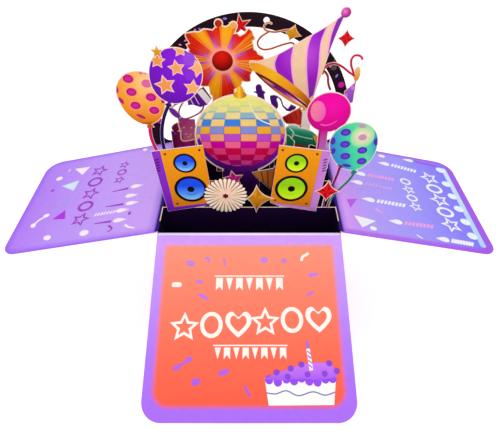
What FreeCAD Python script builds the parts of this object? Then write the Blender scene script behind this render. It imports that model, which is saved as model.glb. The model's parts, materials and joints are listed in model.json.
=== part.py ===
"""A pop up card: a folded card box with three opening flaps, cross slats and die-cut party figures."""

import FreeCAD, Part
import math
import os

Vector = FreeCAD.Vector
X_AXIS, Y_AXIS, Z_AXIS = Vector(1, 0, 0), Vector(0, 1, 0), Vector(0, 0, 1)

# Box sleeve, in millimetres
BOX_WIDTH = 90.0
BOX_DEPTH = 82.0
WALL_HEIGHT = 100.0
CARD = 0.45
FOLD_RADIUS = 0.4
GLUE_TAB = 12.0
GLUE_TAB_TAPER = 5.0

# Flaps
FLAP_LENGTH = 84.0
CREASE_GAP = 0.1
FRONT_FLAP_TRIM = 0.5
SIDE_FLAP_TRIM = 1.0
FRONT_CORNER = 8.5
SIDE_CORNER_FRONT = 7.5
SIDE_CORNER_REAR = 9.5
FRONT_DROOP = 21.2
SIDE_DROOP = 11.65

# Cross slats, glued to the side walls by their end tabs
FIRST_SLAT = 18.0
SLAT_PITCH = 22.0
SLAT_HEIGHT = 60.0
SLAT_RISE = 1.5
TAB_SETBACK = 4.0
TAB_TAPER = 4.0
LUG_WIDTH = 15.0
LUG_HEIGHT = 20.0

# Die-cut figures
FIGURE_CARD = 0.4
FILM = 0.2
GLUE_LAP = 9.5
STRING = 1.4
STEM = 1.8
STREAMER = 1.5
THIN_STREAMER = 1.1
RIBBON_FIT = 0.35
ROSETTE_RADIUS = 10.9
ROSETTE_PLEATS = 28
ROSETTE_NOTCH = 1.2
ROSETTE_INSET = 33.2
SPEAKER_LEFT_INSET = 6.7
SPEAKER_RIGHT_INSET = 14.2
SPEAKER_MIDDLE = 8.0

# Rear arch, glued to the outside of the rear wall
ARCH_SHIFT = -0.6
ARCH_HALF_WIDTH = 58.9
ARCH_TOP = 76.6
ARCH_SPRING = 15.6
ARCH_CROWN_BAND = 7.3
ARCH_SIDE_BAND = 6.3
ARCH_SILL = 0.5
ARCH_FOOT = -10.0
ARCH_FOOT_CORNER = 12.0
ARCH_WINDOW_CORNER = 5.0
TONGUE_WIDTH = 76.0
TONGUE_DEPTH = 30.0
TONGUE_CORNER = 6.0
HANG_HOLE = 1.6
HANG_HOLE_PLACE = 8.9

# Places that follow from the sizes above; the origin is in the middle of the front wall's foot
FRONT = -CARD / 2
REAR = FRONT + BOX_DEPTH
LEFT = -BOX_WIDTH / 2
RIGHT = BOX_WIDTH / 2
RIM = WALL_HEIGHT
ARCH_FRONT = REAR


def flat(x, z):
    """A point of a figure's outline: x across, z above the box rim."""
    return Vector(x, 0, z)


def polygon(points):
    """A flat face with straight edges."""
    corners = [flat(x, z) for x, z in points]
    return Part.Face(Part.makePolygon(corners + corners[:1]))


def disc(x, z, radius):
    """A round face."""
    return Part.Face(Part.Wire(Part.makeCircle(radius, flat(x, z), Y_AXIS)))


def oval(x, z, half_width, half_height, turn=0.0):
    """An oval face, turned anticlockwise by some degrees as seen from the front."""
    major, minor = max(half_width, half_height), min(half_width, half_height)
    ellipse = Part.Ellipse(Vector(0, 0, 0), major, minor)
    face = Part.Face(Part.Wire(ellipse.toShape()))
    face.rotate(Vector(0, 0, 0), X_AXIS, 90)
    if half_height > half_width:
        face.rotate(Vector(0, 0, 0), Y_AXIS, -90)
    face.rotate(Vector(0, 0, 0), Y_AXIS, -turn)
    face.translate(flat(x, z))
    return face


def around(x, z, radius, angle):
    """A point at an angle in degrees, anticlockwise from the right, about a centre."""
    bearing = math.radians(angle)
    return x + radius * math.cos(bearing), z + radius * math.sin(bearing)


def star(x, z, outer, inner, tips, turn=90.0):
    """A straight-sided star with its first tip at the angle of turn."""
    step = 180.0 / tips
    radii = (outer, inner)
    return polygon([around(x, z, radii[k % 2], turn + k * step) for k in range(2 * tips)])


def sparkle(x, z, reach, waist, turn=90.0):
    """A four-pointed star with hollow curved sides; reach holds its four tip distances."""
    edges = []
    for k in range(4):
        tip = flat(*around(x, z, reach[k], turn + 90 * k))
        pull = flat(*around(x, z, waist, turn + 90 * k + 45))
        following = flat(*around(x, z, reach[(k + 1) % 4], turn + 90 * (k + 1)))
        side = Part.BezierCurve()
        side.setPoles([tip, pull, following])
        edges.append(side.toShape())
    return Part.Face(Part.Wire(edges))


def smooth_edge(points):
    """One smooth curve through points of an outline."""
    curve = Part.BSplineCurve()
    curve.interpolate([flat(x, z) for x, z in points])
    return curve.toShape()


def straight_edge(start, end):
    """One straight edge of an outline."""
    return Part.makeLine(flat(*start), flat(*end))


def ribbon(points, width):
    """A curved band of constant width with round ends along a smooth line through points."""
    middle = Part.BSplineCurve()
    middle.interpolate([flat(x, z) for x, z in points])
    line = Part.Wire([arc.toShape() for arc in middle.toBiArcs(RIBBON_FIT)])
    band = line.makeOffset2D(width / 2, 0, True, False, False)
    return band.Faces[0]


def moved(faces, x, z):
    """Faces drawn about their own centre, moved to their place."""
    for face in faces:
        face.translate(flat(x, z))
    return faces


def foot(x, width, top):
    """The strip below a figure that is glued to its slat."""
    low = SLAT_RISE - GLUE_LAP
    return polygon([(x - width / 2, low), (x + width / 2, low), (x + width / 2, top), (x - width / 2, top)])


def merged(solids):
    """One solid from overlapping ones, without seams between flush faces."""
    whole = solids[0]
    if len(solids) > 1:
        whole = solids[0].multiFuse(solids[1:]).removeSplitter()
    return whole.Solids[0] if len(whole.Solids) == 1 else whole


def cut_out(faces, back, thickness=FIGURE_CARD):
    """Flat card cut to the union of faces, its back at a given y."""
    slabs = []
    for face in faces:
        slab = face.copy()
        slab.translate(Vector(0, back, RIM))
        slabs.append(slab.extrude(Vector(0, -thickness, 0)))
    return merged(slabs)


def slat_front(index):
    """The y of a slat's front face; slats count from 0 at the front."""
    return FRONT + FIRST_SLAT + index * SLAT_PITCH


def on_slat(index, layer, faces):
    """A figure glued to a slat: layer 0 against its front, 1 on layer 0, -1 against its back."""
    if layer < 0:
        return cut_out(faces, slat_front(index) + CARD + FIGURE_CARD)
    return cut_out(faces, slat_front(index) - layer * FIGURE_CARD)


def on_arch(faces, lift=0.0, thickness=FIGURE_CARD):
    """A figure glued to the arch, lift in front of it."""
    return cut_out(faces, ARCH_FRONT - lift, thickness)


def rounded_box(width, depth, height, radius):
    """A block on z = 0 with its middle front edge at the origin and its upright edges rounded."""
    block = Part.makeBox(width, depth, height, Vector(-width / 2, 0, 0))
    upright = [e for e in block.Edges if abs(e.Vertexes[0].Z - e.Vertexes[1].Z) > height / 2]
    return block.makeFillet(radius, upright)


def make_sleeve():
    """Four walls folded from one sheet, with the glue tab inside the right wall's rear end."""
    outer = rounded_box(BOX_WIDTH, BOX_DEPTH, WALL_HEIGHT, FOLD_RADIUS + CARD)
    inner = rounded_box(BOX_WIDTH - 2 * CARD, BOX_DEPTH - 2 * CARD, WALL_HEIGHT, FOLD_RADIUS)
    inner.translate(Vector(0, CARD, 0))
    walls = outer.cut(inner)
    walls.translate(Vector(0, FRONT, 0))
    tab_x = RIGHT - 2 * CARD
    tab_end = REAR - CARD - GLUE_TAB
    corner = REAR - CARD / 2
    side = [
        (corner, 0),
        (tab_end, GLUE_TAB_TAPER),
        (tab_end, WALL_HEIGHT - GLUE_TAB_TAPER),
        (corner, WALL_HEIGHT),
    ]
    points = [Vector(tab_x, y, z) for y, z in side]
    tab = Part.Face(Part.makePolygon(points + points[:1])).extrude(Vector(1.5 * CARD, 0, 0))
    return merged([walls, tab])


def flap(width, corners, droop, bearing, hinge):
    """A flap hanging from its crease: drooped below level, then turned to face its wall."""
    plate = Part.makeBox(width, FLAP_LENGTH, CARD, Vector(-width / 2, -FLAP_LENGTH, 0))
    for side, radius in zip((-1, 1), corners):
        far = [
            e for e in plate.Edges
            if e.BoundBox.ZLength > CARD / 2 and e.BoundBox.YMax < -FLAP_LENGTH + CARD
            and side * e.BoundBox.Center.x > 0
        ]
        plate = plate.makeFillet(radius, far)
    plate.rotate(Vector(0, 0, 0), X_AXIS, droop)
    plate.rotate(Vector(0, 0, 0), Z_AXIS, bearing)
    plate.translate(hinge)
    return plate


def make_flaps():
    """The front flap and the two side flaps, by node name."""
    front_width = BOX_WIDTH - 2 * FRONT_FLAP_TRIM
    side_width = BOX_DEPTH - 2 * SIDE_FLAP_TRIM
    level = RIM + CREASE_GAP
    middle = (FRONT + REAR) / 2
    front_crease = Vector(0, FRONT - CREASE_GAP, level)
    left_crease = Vector(LEFT - CREASE_GAP, middle, level)
    right_crease = Vector(RIGHT + CREASE_GAP, middle, level)
    side = (SIDE_CORNER_FRONT, SIDE_CORNER_REAR)
    return {
        "front_flap": flap(front_width, (FRONT_CORNER, FRONT_CORNER), FRONT_DROOP, 0, front_crease),
        "left_flap": flap(side_width, side[::-1], SIDE_DROOP, -90, left_crease),
        "right_flap": flap(side_width, side, SIDE_DROOP, 90, right_crease),
    }


def make_slat(index, lugs=()):
    """A card strip across the box with a tab folded forward along each side wall.

    Lugs are the places across the strip where it rises to carry a tall figure.
    """
    face = slat_front(index)
    half = BOX_WIDTH / 2 - CARD
    tab = FIRST_SLAT - TAB_SETBACK
    top = RIM + SLAT_RISE
    low = top - SLAT_HEIGHT
    plan = [
        (-half, face - tab), (-half, face + CARD), (half, face + CARD), (half, face - tab),
        (half - CARD, face - tab), (half - CARD, face), (CARD - half, face), (CARD - half, face - tab),
    ]
    points = [Vector(x, y, low) for x, y in plan]
    strip = Part.Face(Part.makePolygon(points + points[:1])).extrude(Vector(0, 0, SLAT_HEIGHT))
    for z, inward in ((low, 1), (top, -1)):
        nick = [
            Vector(-BOX_WIDTH, face - tab, z),
            Vector(-BOX_WIDTH, face - tab + TAB_TAPER, z),
            Vector(-BOX_WIDTH, face - tab, z + inward * TAB_TAPER),
        ]
        wedge = Part.Face(Part.makePolygon(nick + nick[:1])).extrude(Vector(2 * BOX_WIDTH, 0, 0))
        strip = strip.cut(wedge)
    for x in lugs:
        corner = Vector(x - LUG_WIDTH / 2, face, top - LUG_HEIGHT)
        lug = Part.makeBox(LUG_WIDTH, CARD, 2 * LUG_HEIGHT, corner)
        strip = merged([strip, lug])
    return strip.Solids[0]


def arch_outline(half_width, top, spring, low, corner):
    """A window-shaped face: half an oval above, straight sides and round corners below."""
    rise = top - spring
    crown = oval(ARCH_SHIFT, spring, half_width, rise)
    west = ARCH_SHIFT - half_width
    square = Part.makeBox(2 * half_width, 1, spring - low, Vector(west, -1, low))
    lower = [e for e in square.Edges if e.BoundBox.ZMax < low + corner / 2 and e.BoundBox.YLength > 0.5]
    body = square.makeFillet(corner, lower)
    oval_slab = crown.extrude(Vector(0, -1, 0))
    upper = oval_slab.common(Part.makeBox(2 * half_width, 1, rise, Vector(west, -1, spring)))
    return merged([upper, body])


def make_rear_arch():
    """A dark arch of card whose tongue is glued to the outside of the rear wall."""
    outer = arch_outline(ARCH_HALF_WIDTH, ARCH_TOP, ARCH_SPRING, ARCH_FOOT, ARCH_FOOT_CORNER)
    half_window = ARCH_HALF_WIDTH - ARCH_SIDE_BAND
    window = arch_outline(
        half_window, ARCH_TOP - ARCH_CROWN_BAND, ARCH_SPRING, ARCH_SILL, ARCH_WINDOW_CORNER
    )
    tongue = Part.makeBox(TONGUE_WIDTH, 1, TONGUE_DEPTH, Vector(-TONGUE_WIDTH / 2, -1, -TONGUE_DEPTH))
    lower = [e for e in tongue.Edges if e.BoundBox.ZMax < -TONGUE_DEPTH / 2 and e.BoundBox.YLength > 0.5]
    tongue = tongue.makeFillet(TONGUE_CORNER, lower)
    hole = disc(HANG_HOLE_PLACE, ARCH_TOP - 0.55 * ARCH_CROWN_BAND, HANG_HOLE).extrude(Vector(0, -1, 0))
    panel = merged([outer, tongue]).cut(window).cut(hole)
    front_face = [f for f in panel.Faces if f.BoundBox.YLength < 0.01 and f.BoundBox.YMin > -0.5][0]
    sheet = front_face.extrude(Vector(0, CARD, 0))
    sheet.translate(Vector(0, REAR, RIM))
    return sheet


def speaker(side, x):
    """A loudspeaker cabinet seen at an angle; side is -1 for the left one, 1 for the right one."""
    outline = [(-3.6, -0.9), (16.2, 3.0), (20.2, 5.1), (17.1, 39.5), (-2.8, 36.7), (-7.1, 36.0)]
    return [polygon([(x - side * across, z) for across, z in outline])]


def speaker_lugs():
    """The middles of the two lugs that carry the speakers."""
    left, right = LEFT + SPEAKER_LEFT_INSET, RIGHT - SPEAKER_RIGHT_INSET
    return (left + SPEAKER_MIDDLE, right - SPEAKER_MIDDLE)


def balloon(x, z, radius, drop, lean):
    """A balloon: round above, drawn out to a knot below, leaning by some degrees."""
    upper = oval(0, 0, radius, radius)
    lower = oval(0, 0, radius, drop)
    lower = lower.common(polygon([(-radius, 0), (radius, 0), (radius, -2 * drop), (-radius, -2 * drop)]))
    knot = polygon([(-1.0, -drop + 0.6), (1.0, -drop + 0.6), (2.0, -drop - 1.8), (-2.0, -drop - 1.8)])
    faces = []
    for face in (upper, lower.Faces[0], knot):
        face.rotate(Vector(0, 0, 0), Y_AXIS, -lean)
        face.translate(flat(x, z))
        faces.append(face)
    return faces


def make_front_figures():
    """Speakers, rosette, stars and a balloon on the front slat."""
    rosette_x = LEFT + ROSETTE_INSET
    pleats = star(rosette_x, 9.8, ROSETTE_RADIUS, ROSETTE_RADIUS - ROSETTE_NOTCH, ROSETTE_PLEATS)
    beside_rosette = rosette_x + ROSETTE_RADIUS + 4.5
    teal = balloon(RIGHT + 2.7, 39.9, 11.1, 15.4, 10)
    strings = [
        ribbon([(RIGHT + 5.6, 24.0), (RIGHT + 3.0, 18.0), (RIGHT - 1.2, 11.8), (RIGHT - 3.4, -5.0)], STRING),
        ribbon([(RIGHT - 1.7, 27.6), (RIGHT - 3.0, 21.0), (RIGHT - 5.0, 14.0), (RIGHT - 6.2, -5.0)], STRING),
    ]
    return {
        "speaker_left": on_slat(0, 0, speaker(-1, LEFT + SPEAKER_LEFT_INSET)),
        "speaker_right": on_slat(0, 0, speaker(1, RIGHT - SPEAKER_RIGHT_INSET)),
        "rosette": on_slat(0, 1, [pleats]),
        "star_gold_front": on_slat(0, 1, [sparkle(beside_rosette, 8.0, (9.0, 5.4, 9.6, 9.4), 2.4)]),
        "star_red_front": on_slat(0, 1, [sparkle(RIGHT - 6.4, 12.6, (7.2, 6.4, 6.4, 6.4), 2.2)]),
        "balloon_teal": on_slat(0, -1, teal + strings),
    }


def make_middle_figures():
    """Mirror ball, balloons, bottle, horn and small stars on the middle slat."""
    ball = [disc(-4.35, 30.4, 23.1), polygon([(-7.2, 52.0), (-1.4, 52.0), (-2.0, 56.2), (-6.6, 56.2)]),
            foot(-4.4, 20.0, 12.0)]
    orange_line = [(-4.2, 36.6), (-3.6, 24.0), (2.0, 8.0), (4.2, -6.0)]
    purple_line = [(6.3, 47.6), (2.9, 39.4), (1.4, 23.9), (7.0, -6.0)]
    orange_stem = ribbon([(LEFT + x, z) for x, z in orange_line], STEM)
    purple_stem = ribbon([(LEFT + x, z) for x, z in purple_line], STEM)
    horn = [
        polygon([(1.4, 8.0), (3.6, 4.6), (14.0, -6.0), (19.0, 12.0)]),
        oval(16.5, 3.0, 3.2, 9.4, 15.5),
    ]
    bottle_x = RIGHT - 17.4
    bottle = [
        oval(bottle_x, 29.6, 8.0, 4.7, -22),
        polygon([(bottle_x + x, z) for x, z in ((5.4, 30.0), (3.8, 24.8), (9.9, 22.2), (12.3, 26.9))]),
        oval(bottle_x - 5.8, 33.2, 4.0, 3.6),
        foot(bottle_x - 0.6, 8.0, 30.0),
    ]
    magenta = [disc(RIGHT - 6.3, 43.7, 10.9), foot(RIGHT - 8.0, 5.0, 36.0)]
    return {
        "disco_ball": on_slat(1, 0, ball),
        "balloon_orange": on_slat(1, 0, balloon(LEFT - 6.3, 53.5, 11.4, 16.6, 7) + [orange_stem]),
        "balloon_purple": on_slat(1, 1, balloon(LEFT + 11.6, 63.7, 12.3, 15.4, -18) + [purple_stem]),
        "balloon_magenta": on_slat(1, 0, magenta),
        "star_gold_small": on_slat(1, 2, [star(LEFT + 4.4, 74.0, 3.4, 1.5, 5)]),
        "star_magenta": on_slat(1, 1, [star(-8.6, 3.4, 6.0, 2.9, 5, 100)]),
        "party_horn": on_slat(1, 1, horn),
        "bottle": on_slat(1, -1, bottle),
    }


def burst_face():
    """A firework burst: eight broad petals of uneven length with shallow notches between them."""
    upper = [
        (-12.6, 77.3), (-11.0, 76.9), (-9.5, 77.8), (-5.4, 76.5), (-6.7, 73.8), (-5.6, 73.9), (-4.3, 72.7),
        (-2.3, 73.8), (-1.0, 75.7), (0.1, 76.2), (1.8, 74.6), (2.3, 72.7), (3.4, 71.0), (1.8, 69.7),
        (2.3, 68.3), (2.6, 66.0), (3.8, 65.4), (4.6, 63.7), (7.2, 62.6), (8.1, 60.2), (6.4, 57.9),
    ]
    lower = [
        (2.4, 55.5), (0.9, 52.7), (1.0, 49.2), (-0.5, 48.6), (-3.4, 49.0), (-4.0, 46.5), (-5.8, 44.7),
        (-7.8, 44.5), (-9.3, 44.9), (-10.1, 41.8), (-12.5, 41.0), (-14.0, 42.1), (-17.0, 42.0),
        (-18.9, 40.6), (-20.6, 41.8), (-21.0, 46.2), (-24.0, 46.2), (-27.4, 47.8), (-27.6, 51.0),
    ]
    left = [
        (-31.0, 53.6), (-32.0, 57.4), (-30.6, 59.6), (-32.2, 62.6), (-29.6, 65.7), (-30.9, 68.3),
        (-29.3, 68.9), (-30.8, 71.9), (-30.9, 73.8), (-28.8, 74.2), (-26.4, 74.6), (-23.9, 74.5),
        (-21.9, 75.9), (-19.1, 75.7), (-17.6, 75.4), (-16.2, 76.7),
    ]
    return polygon(upper + lower + left)


def make_hat():
    """A cone hat with a drawn-out tip, a pompon and an open brim seen from below."""
    side_up = [
        (-16.4, 12.6), (-9.5, 14.2), (-1.9, 17.4), (5.2, 21.6), (12.9, 26.3), (19.1, 30.1), (26.6, 35.8),
    ]
    side_down = [(27.6, 35.4), (24.6, 26.3), (22.3, 17.5), (20.4, 8.7), (17.5, -3.8), (16.3, -11.8)]
    edges = [
        smooth_edge(side_up),
        straight_edge(side_up[-1], side_down[0]),
        smooth_edge(side_down),
        straight_edge(side_down[-1], side_up[0]),
    ]
    cone = Part.Face(Part.Wire(edges))
    brim = oval(0, 0, 21.4, 4.6, -38)
    pompon = disc(27.8, 36.5, 2.6)
    x = RIGHT - 28.0
    return on_slat(2, 1, moved([cone, brim, pompon], x, 46.8) + [foot(x + 14.0, 5.0, 38.0)])


def make_rear_figures():
    """Burst, hat, gift, popper, drum and notes on the rear slat."""
    burst = [
        burst_face(),
        disc(-14.5, 78.2, 2.2),
        disc(-7.5, 77.2, 2.1),
        foot(-13.5, 12.0, 46.0),
    ]
    gift = [
        polygon([(LEFT + 1.4, -4.0), (LEFT + 14.6, -4.0), (LEFT + 14.6, 20.0), (LEFT + 1.4, 20.0)]),
        oval(LEFT + 5.4, 22.6, 3.8, 2.4, 28),
        oval(LEFT + 10.6, 22.6, 3.8, 2.4, -28),
        foot(LEFT + 8.0, 9.0, 6.0),
    ]
    popper_case = [
        (11.9, 40.1), (21.3, 46.0), (25.3, 39.2), (22.6, 35.3), (18.9, 33.9), (14.7, 35.4), (12.3, 35.0),
    ]
    pull_strap = [(2.9, 33.0), (4.9, 36.0), (11.9, 40.1), (12.3, 38.0), (5.8, 35.1)]
    trail = [(20.8, 35.6), (17.2, 29.7), (12.7, 27.7), (7.7, 27.2), (6.9, 30.0), (7.8, 33.6), (9.7, 36.6)]
    popper = [
        polygon([(LEFT + x, z) for x, z in popper_case]),
        polygon([(LEFT + x, z) for x, z in pull_strap]),
        oval(LEFT + 4.5, 30.6, 4.0, 1.9, -52),
        ribbon([(LEFT + x, z) for x, z in trail], THIN_STREAMER),
        foot(LEFT + 8.0, 4.0, 27.4),
    ]
    drum_x = RIGHT - 20.8
    drum = [
        (-7.1, 27.6), (3.3, 34.2), (6.1, 29.0), (7.6, 27.0), (5.4, 22.7), (-3.9, 23.9), (-5.9, 26.3),
    ]
    parcel = [(-3.5, 10.0), (-3.5, 22.7), (-1.2, 23.9), (5.4, 23.1), (5.4, 10.0)]
    single = [
        (2.2, 44.0), (3.4, 43.7), (3.1, 46.4), (3.9, 47.5), (5.2, 47.9), (6.4, 47.0), (7.0, 44.4),
        (8.6, 43.4), (8.3, 42.2), (7.9, 42.2), (8.6, 37.7), (4.8, 37.0), (4.0, 42.2), (2.3, 43.1),
    ]
    pair = [
        (10.7, 41.3), (13.0, 41.8), (15.0, 41.1), (17.1, 39.4), (18.4, 35.6), (20.6, 33.7), (22.2, 36.4),
        (25.4, 34.7), (24.6, 33.2), (22.1, 31.8), (20.0, 32.2), (17.6, 35.0), (16.4, 38.4), (15.1, 39.9),
        (14.6, 39.1), (15.6, 36.3), (15.5, 34.0), (13.9, 33.4), (12.2, 34.4), (10.8, 39.4),
    ]
    return {
        "starburst": on_slat(2, 0, burst),
        "gift_box": on_slat(2, 0, gift),
        "drum": on_slat(2, -1, [polygon([(drum_x + x, z) for x, z in drum]), foot(drum_x, 5.0, 28.0)]),
        "parcel_green": on_slat(
            2, 0, [polygon([(drum_x + x, z) for x, z in parcel]), foot(drum_x + 1.0, 7.0, 12.0)]
        ),
        "note_single": on_slat(2, 0, [polygon(single), foot(6.0, 3.0, 39.0)]),
        "note_pair": on_slat(2, 0, [polygon(pair), foot(13.4, 3.0, 36.0)]),
        "party_popper": on_slat(2, -1, popper),
        "party_hat": make_hat(),
    }


def make_arch_figures():
    """Stars, streamers, a candle and a film strip on the arch."""
    curl = ribbon([(45.8, 34.9), (44.2, 40.0), (42.3, 44.6), (40.6, 46.0)], STREAMER)
    wave_line = [(40.6, 44.3), (42.4, 49.1), (45.9, 50.1), (50.8, 48.1), (54.6, 45.4), (58.2, 43.2)]
    tail_line = [(57.8, 43.0), (56.2, 47.4), (55.2, 51.8), (55.9, 54.0), (57.6, 54.6), (61.0, 52.5)]
    wave, tail = ribbon(wave_line, STREAMER), ribbon(tail_line, STREAMER)
    hook = [(20.6, 68.0), (15.5, 67.2), (10.5, 67.2), (7.6, 69.2), (8.8, 71.4), (11.4, 71.2)]
    loop = [(10.5, 67.2), (6.4, 64.4), (4.4, 61.2), (5.6, 58.6), (12.0, 58.4), (24.0, 60.0)]
    gold = [ribbon(hook, THIN_STREAMER), ribbon(loop, THIN_STREAMER)]
    candle = [
        polygon([(54.4, 24.0), (60.0, 26.6), (59.9, 38.6), (58.9, 38.6), (54.0, 33.4)]),
        oval(59.6, 43.8, 1.9, 4.3),
        polygon([(58.9, 38.0), (59.9, 38.0), (60.0, 41.0), (59.0, 41.0)]),
    ]
    strut = polygon([(44.6, 46.0), (47.4, 46.0), (52.2, 66.4), (49.6, 66.4)])
    return {
        "star_red_rear": on_arch([star(-4.6, 70.3, 6.2, 2.4, 5, 98)]),
        "star_gold_rear": on_arch([sparkle(22.4, 66.2, (4.8, 5.2, 4.6, 5.4), 1.9, 72)]),
        "streamer_gold": on_arch(gold, FIGURE_CARD),
        "streamer_red": on_arch([curl, wave, tail], FIGURE_CARD),
        "candle": on_arch(candle),
        "film_strut": on_arch([strut], 0.0, FILM),
        "star_red_high": on_arch([sparkle(50.8, 63.5, (5.2, 5.0, 5.2, 5.0), 1.8)], FILM),
    }


def main():
    nodes = {"sleeve": make_sleeve(), "rear_arch": make_rear_arch()}
    nodes.update(make_flaps())
    nodes["slat_front"] = make_slat(0, speaker_lugs())
    nodes["slat_middle"] = make_slat(1)
    nodes["slat_rear"] = make_slat(2)
    for group in (make_front_figures(), make_middle_figures(), make_rear_figures(), make_arch_figures()):
        nodes.update(group)
    os.makedirs("parts", exist_ok=True)
    for name, shape in nodes.items():
        shape.exportStep("parts/" + name + ".step")


main()
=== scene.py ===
"""Dresses the pop up card: printed card faces, bent creases, a plain stage and the camera."""

import json
import math
from collections import namedtuple

import bpy
from bpy.props import FloatProperty, FloatVectorProperty, PointerProperty
from mathutils import Matrix, Vector


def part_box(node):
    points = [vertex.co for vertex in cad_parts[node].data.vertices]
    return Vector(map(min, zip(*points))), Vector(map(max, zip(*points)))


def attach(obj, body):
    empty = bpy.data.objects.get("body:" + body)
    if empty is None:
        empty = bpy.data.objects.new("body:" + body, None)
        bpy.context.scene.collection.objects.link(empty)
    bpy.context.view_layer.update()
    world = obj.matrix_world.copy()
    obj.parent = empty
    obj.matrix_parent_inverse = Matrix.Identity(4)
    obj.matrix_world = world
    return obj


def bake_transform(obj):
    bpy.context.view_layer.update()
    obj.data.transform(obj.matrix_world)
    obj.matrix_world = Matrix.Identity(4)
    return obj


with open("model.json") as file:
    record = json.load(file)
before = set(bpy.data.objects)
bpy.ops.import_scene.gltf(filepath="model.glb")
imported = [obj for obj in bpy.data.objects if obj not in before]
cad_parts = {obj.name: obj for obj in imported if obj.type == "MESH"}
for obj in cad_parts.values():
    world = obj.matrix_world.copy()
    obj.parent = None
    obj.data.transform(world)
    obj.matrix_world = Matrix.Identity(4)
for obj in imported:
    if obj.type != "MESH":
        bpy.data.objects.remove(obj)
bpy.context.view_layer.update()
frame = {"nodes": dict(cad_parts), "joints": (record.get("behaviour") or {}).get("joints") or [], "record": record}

bl_info = {
    "name": "Pop Up Card",
    "version": (1, 0, 0),
    "blender": (4, 5, 0),
    "location": "3D View > Sidebar > Pop Up Card",
    "description": "Prints and creases for a folded party card with die-cut figures",
    "category": "Object",
}

MM = 0.001
NODES = frame["nodes"]
BODY_OF = {
    node: body for body, members in frame["record"]["behaviour"]["bodies"].items() for node in members}
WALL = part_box("sleeve")
FRONT = WALL[0].y
RIM = WALL[1].z
BOX_MIDDLE = (WALL[0].y + WALL[1].y) / 2
BOARD = 0.45 * MM
SATIN = 0.44

# A flat face that is printed: its own axes and origin, and the node that carries it
Sheet = namedtuple("Sheet", "matrix node")

# A material under way: its shader, the point that it colours and its faint cloudiness
Base = namedtuple("Base", "material tree shader place cloud")


def linear(code):
    """A six digit sRGB hex colour as linear red, green, blue and alpha."""
    parts = [int(code[i:i + 2], 16) / 255 for i in (1, 3, 5)]
    return tuple(p / 12.92 if p <= 0.04045 else ((p + 0.055) / 1.055) ** 2.4 for p in parts) + (1.0,)


def shade(colour):
    """A colour from a hex code or from a setting."""
    return linear(colour) if isinstance(colour, str) else tuple(colour)


# Settings that a user would change


class CardPaper(bpy.types.PropertyGroup):
    """How the card and its print are made."""

    ink: FloatProperty(
        name="Print step", description="How far each printed layer stands over the one below it",
        default=0.05 * MM, unit="LENGTH")
    border: FloatProperty(
        name="Unprinted border", description="Bare card left along the cut edge of each figure",
        default=0.55 * MM, unit="LENGTH")
    # The bumps of real coated card, about 0.1 mm, are too fine to show, so they are drawn coarser.
    tooth: FloatProperty(
        name="Paper tooth", description="Size of the fine bumps of coated card",
        default=0.28 * MM, unit="LENGTH")
    mottle: FloatProperty(
        name="Ink mottling", description="Size of the faint cloudiness in a printed area",
        default=3.0 * MM, unit="LENGTH")


class CardColours(bpy.types.PropertyGroup):
    """The main colours of the card."""

    lavender: FloatVectorProperty(
        name="Lavender", description="The print of the box and of the side flaps' borders",
        default=linear("#c497fb"), size=4, subtype="COLOR")
    coral: FloatVectorProperty(
        name="Coral", description="The lower part of the front flap's panel",
        default=linear("#fe6e54"), size=4, subtype="COLOR")
    night: FloatVectorProperty(
        name="Night", description="The box's inside and the slats",
        default=linear("#1a052c"), size=4, subtype="COLOR")
    cream: FloatVectorProperty(
        name="Cream", description="Bare card along cut edges",
        default=linear("#f9dfc8"), size=4, subtype="COLOR")


class CardStage(bpy.types.PropertyGroup):
    """Where the camera and the lamps are."""

    pitch: FloatProperty(
        name="Camera pitch", description="How far the camera looks down",
        default=math.radians(42.464), subtype="ANGLE")
    distance: FloatProperty(
        name="Camera distance", description="Depth from the camera to the front wall's top edge",
        default=223.2 * MM, unit="LENGTH")
    drop: FloatProperty(
        name="Edge drop", description="How far below the middle of the view that edge lies",
        default=7.58 * MM, unit="LENGTH")
    lens: FloatProperty(
        name="Focal length", description="Focal length on a 36 mm wide sensor, in millimetres",
        default=33.06)
    room: FloatProperty(
        name="Room light", description="Strength of the even light from all round", default=0.86)
    fill: FloatProperty(
        name="Fill light", description="Power of the lamp in front of the figures, in watts",
        default=1.7)
    key: FloatProperty(
        name="Key light", description="Power of the large lamp over the camera, in watts",
        default=0.62)


# Inks and papers


def add_node(tree, kind, inputs=None, **settings):
    """A node with its settings, and with inputs that are given a value or joined to what feeds them."""
    node = tree.nodes.new(kind)
    for key, value in settings.items():
        setattr(node, key, value)
    for key, value in (inputs or {}).items():
        if isinstance(value, bpy.types.NodeSocket):
            tree.links.new(value, node.inputs[key])
        else:
            node.inputs[key].default_value = value
    return node


def start_material(name, roughness=SATIN):
    """Coated board: satin, with a fine tooth that breaks up its gloss and faintly cloudy ink."""
    material = bpy.data.materials.new(name)
    material.use_nodes = True
    tree = material.node_tree
    shader = tree.nodes["Principled BSDF"]
    shader.inputs["Roughness"].default_value = roughness
    shader.inputs["IOR"].default_value = 1.5
    shader.inputs["Specular IOR Level"].default_value = 0.1
    sizes = bpy.context.scene.card_paper
    place = add_node(tree, "ShaderNodeTexCoord").outputs["Object"]
    cloud = add_node(
        tree, "ShaderNodeTexNoise", {"Vector": place, "Scale": 1 / sizes.mottle, "Detail": 3.0})
    tooth = add_node(
        tree, "ShaderNodeTexNoise", {"Vector": place, "Scale": 1 / sizes.tooth, "Detail": 2.0})
    bump = add_node(
        tree, "ShaderNodeBump",
        {"Strength": 0.12, "Distance": 0.04 * MM, "Height": tooth.outputs["Fac"]})
    tree.links.new(bump.outputs["Normal"], shader.inputs["Normal"])
    return Base(material, tree, shader, place, cloud.outputs["Fac"])


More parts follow.
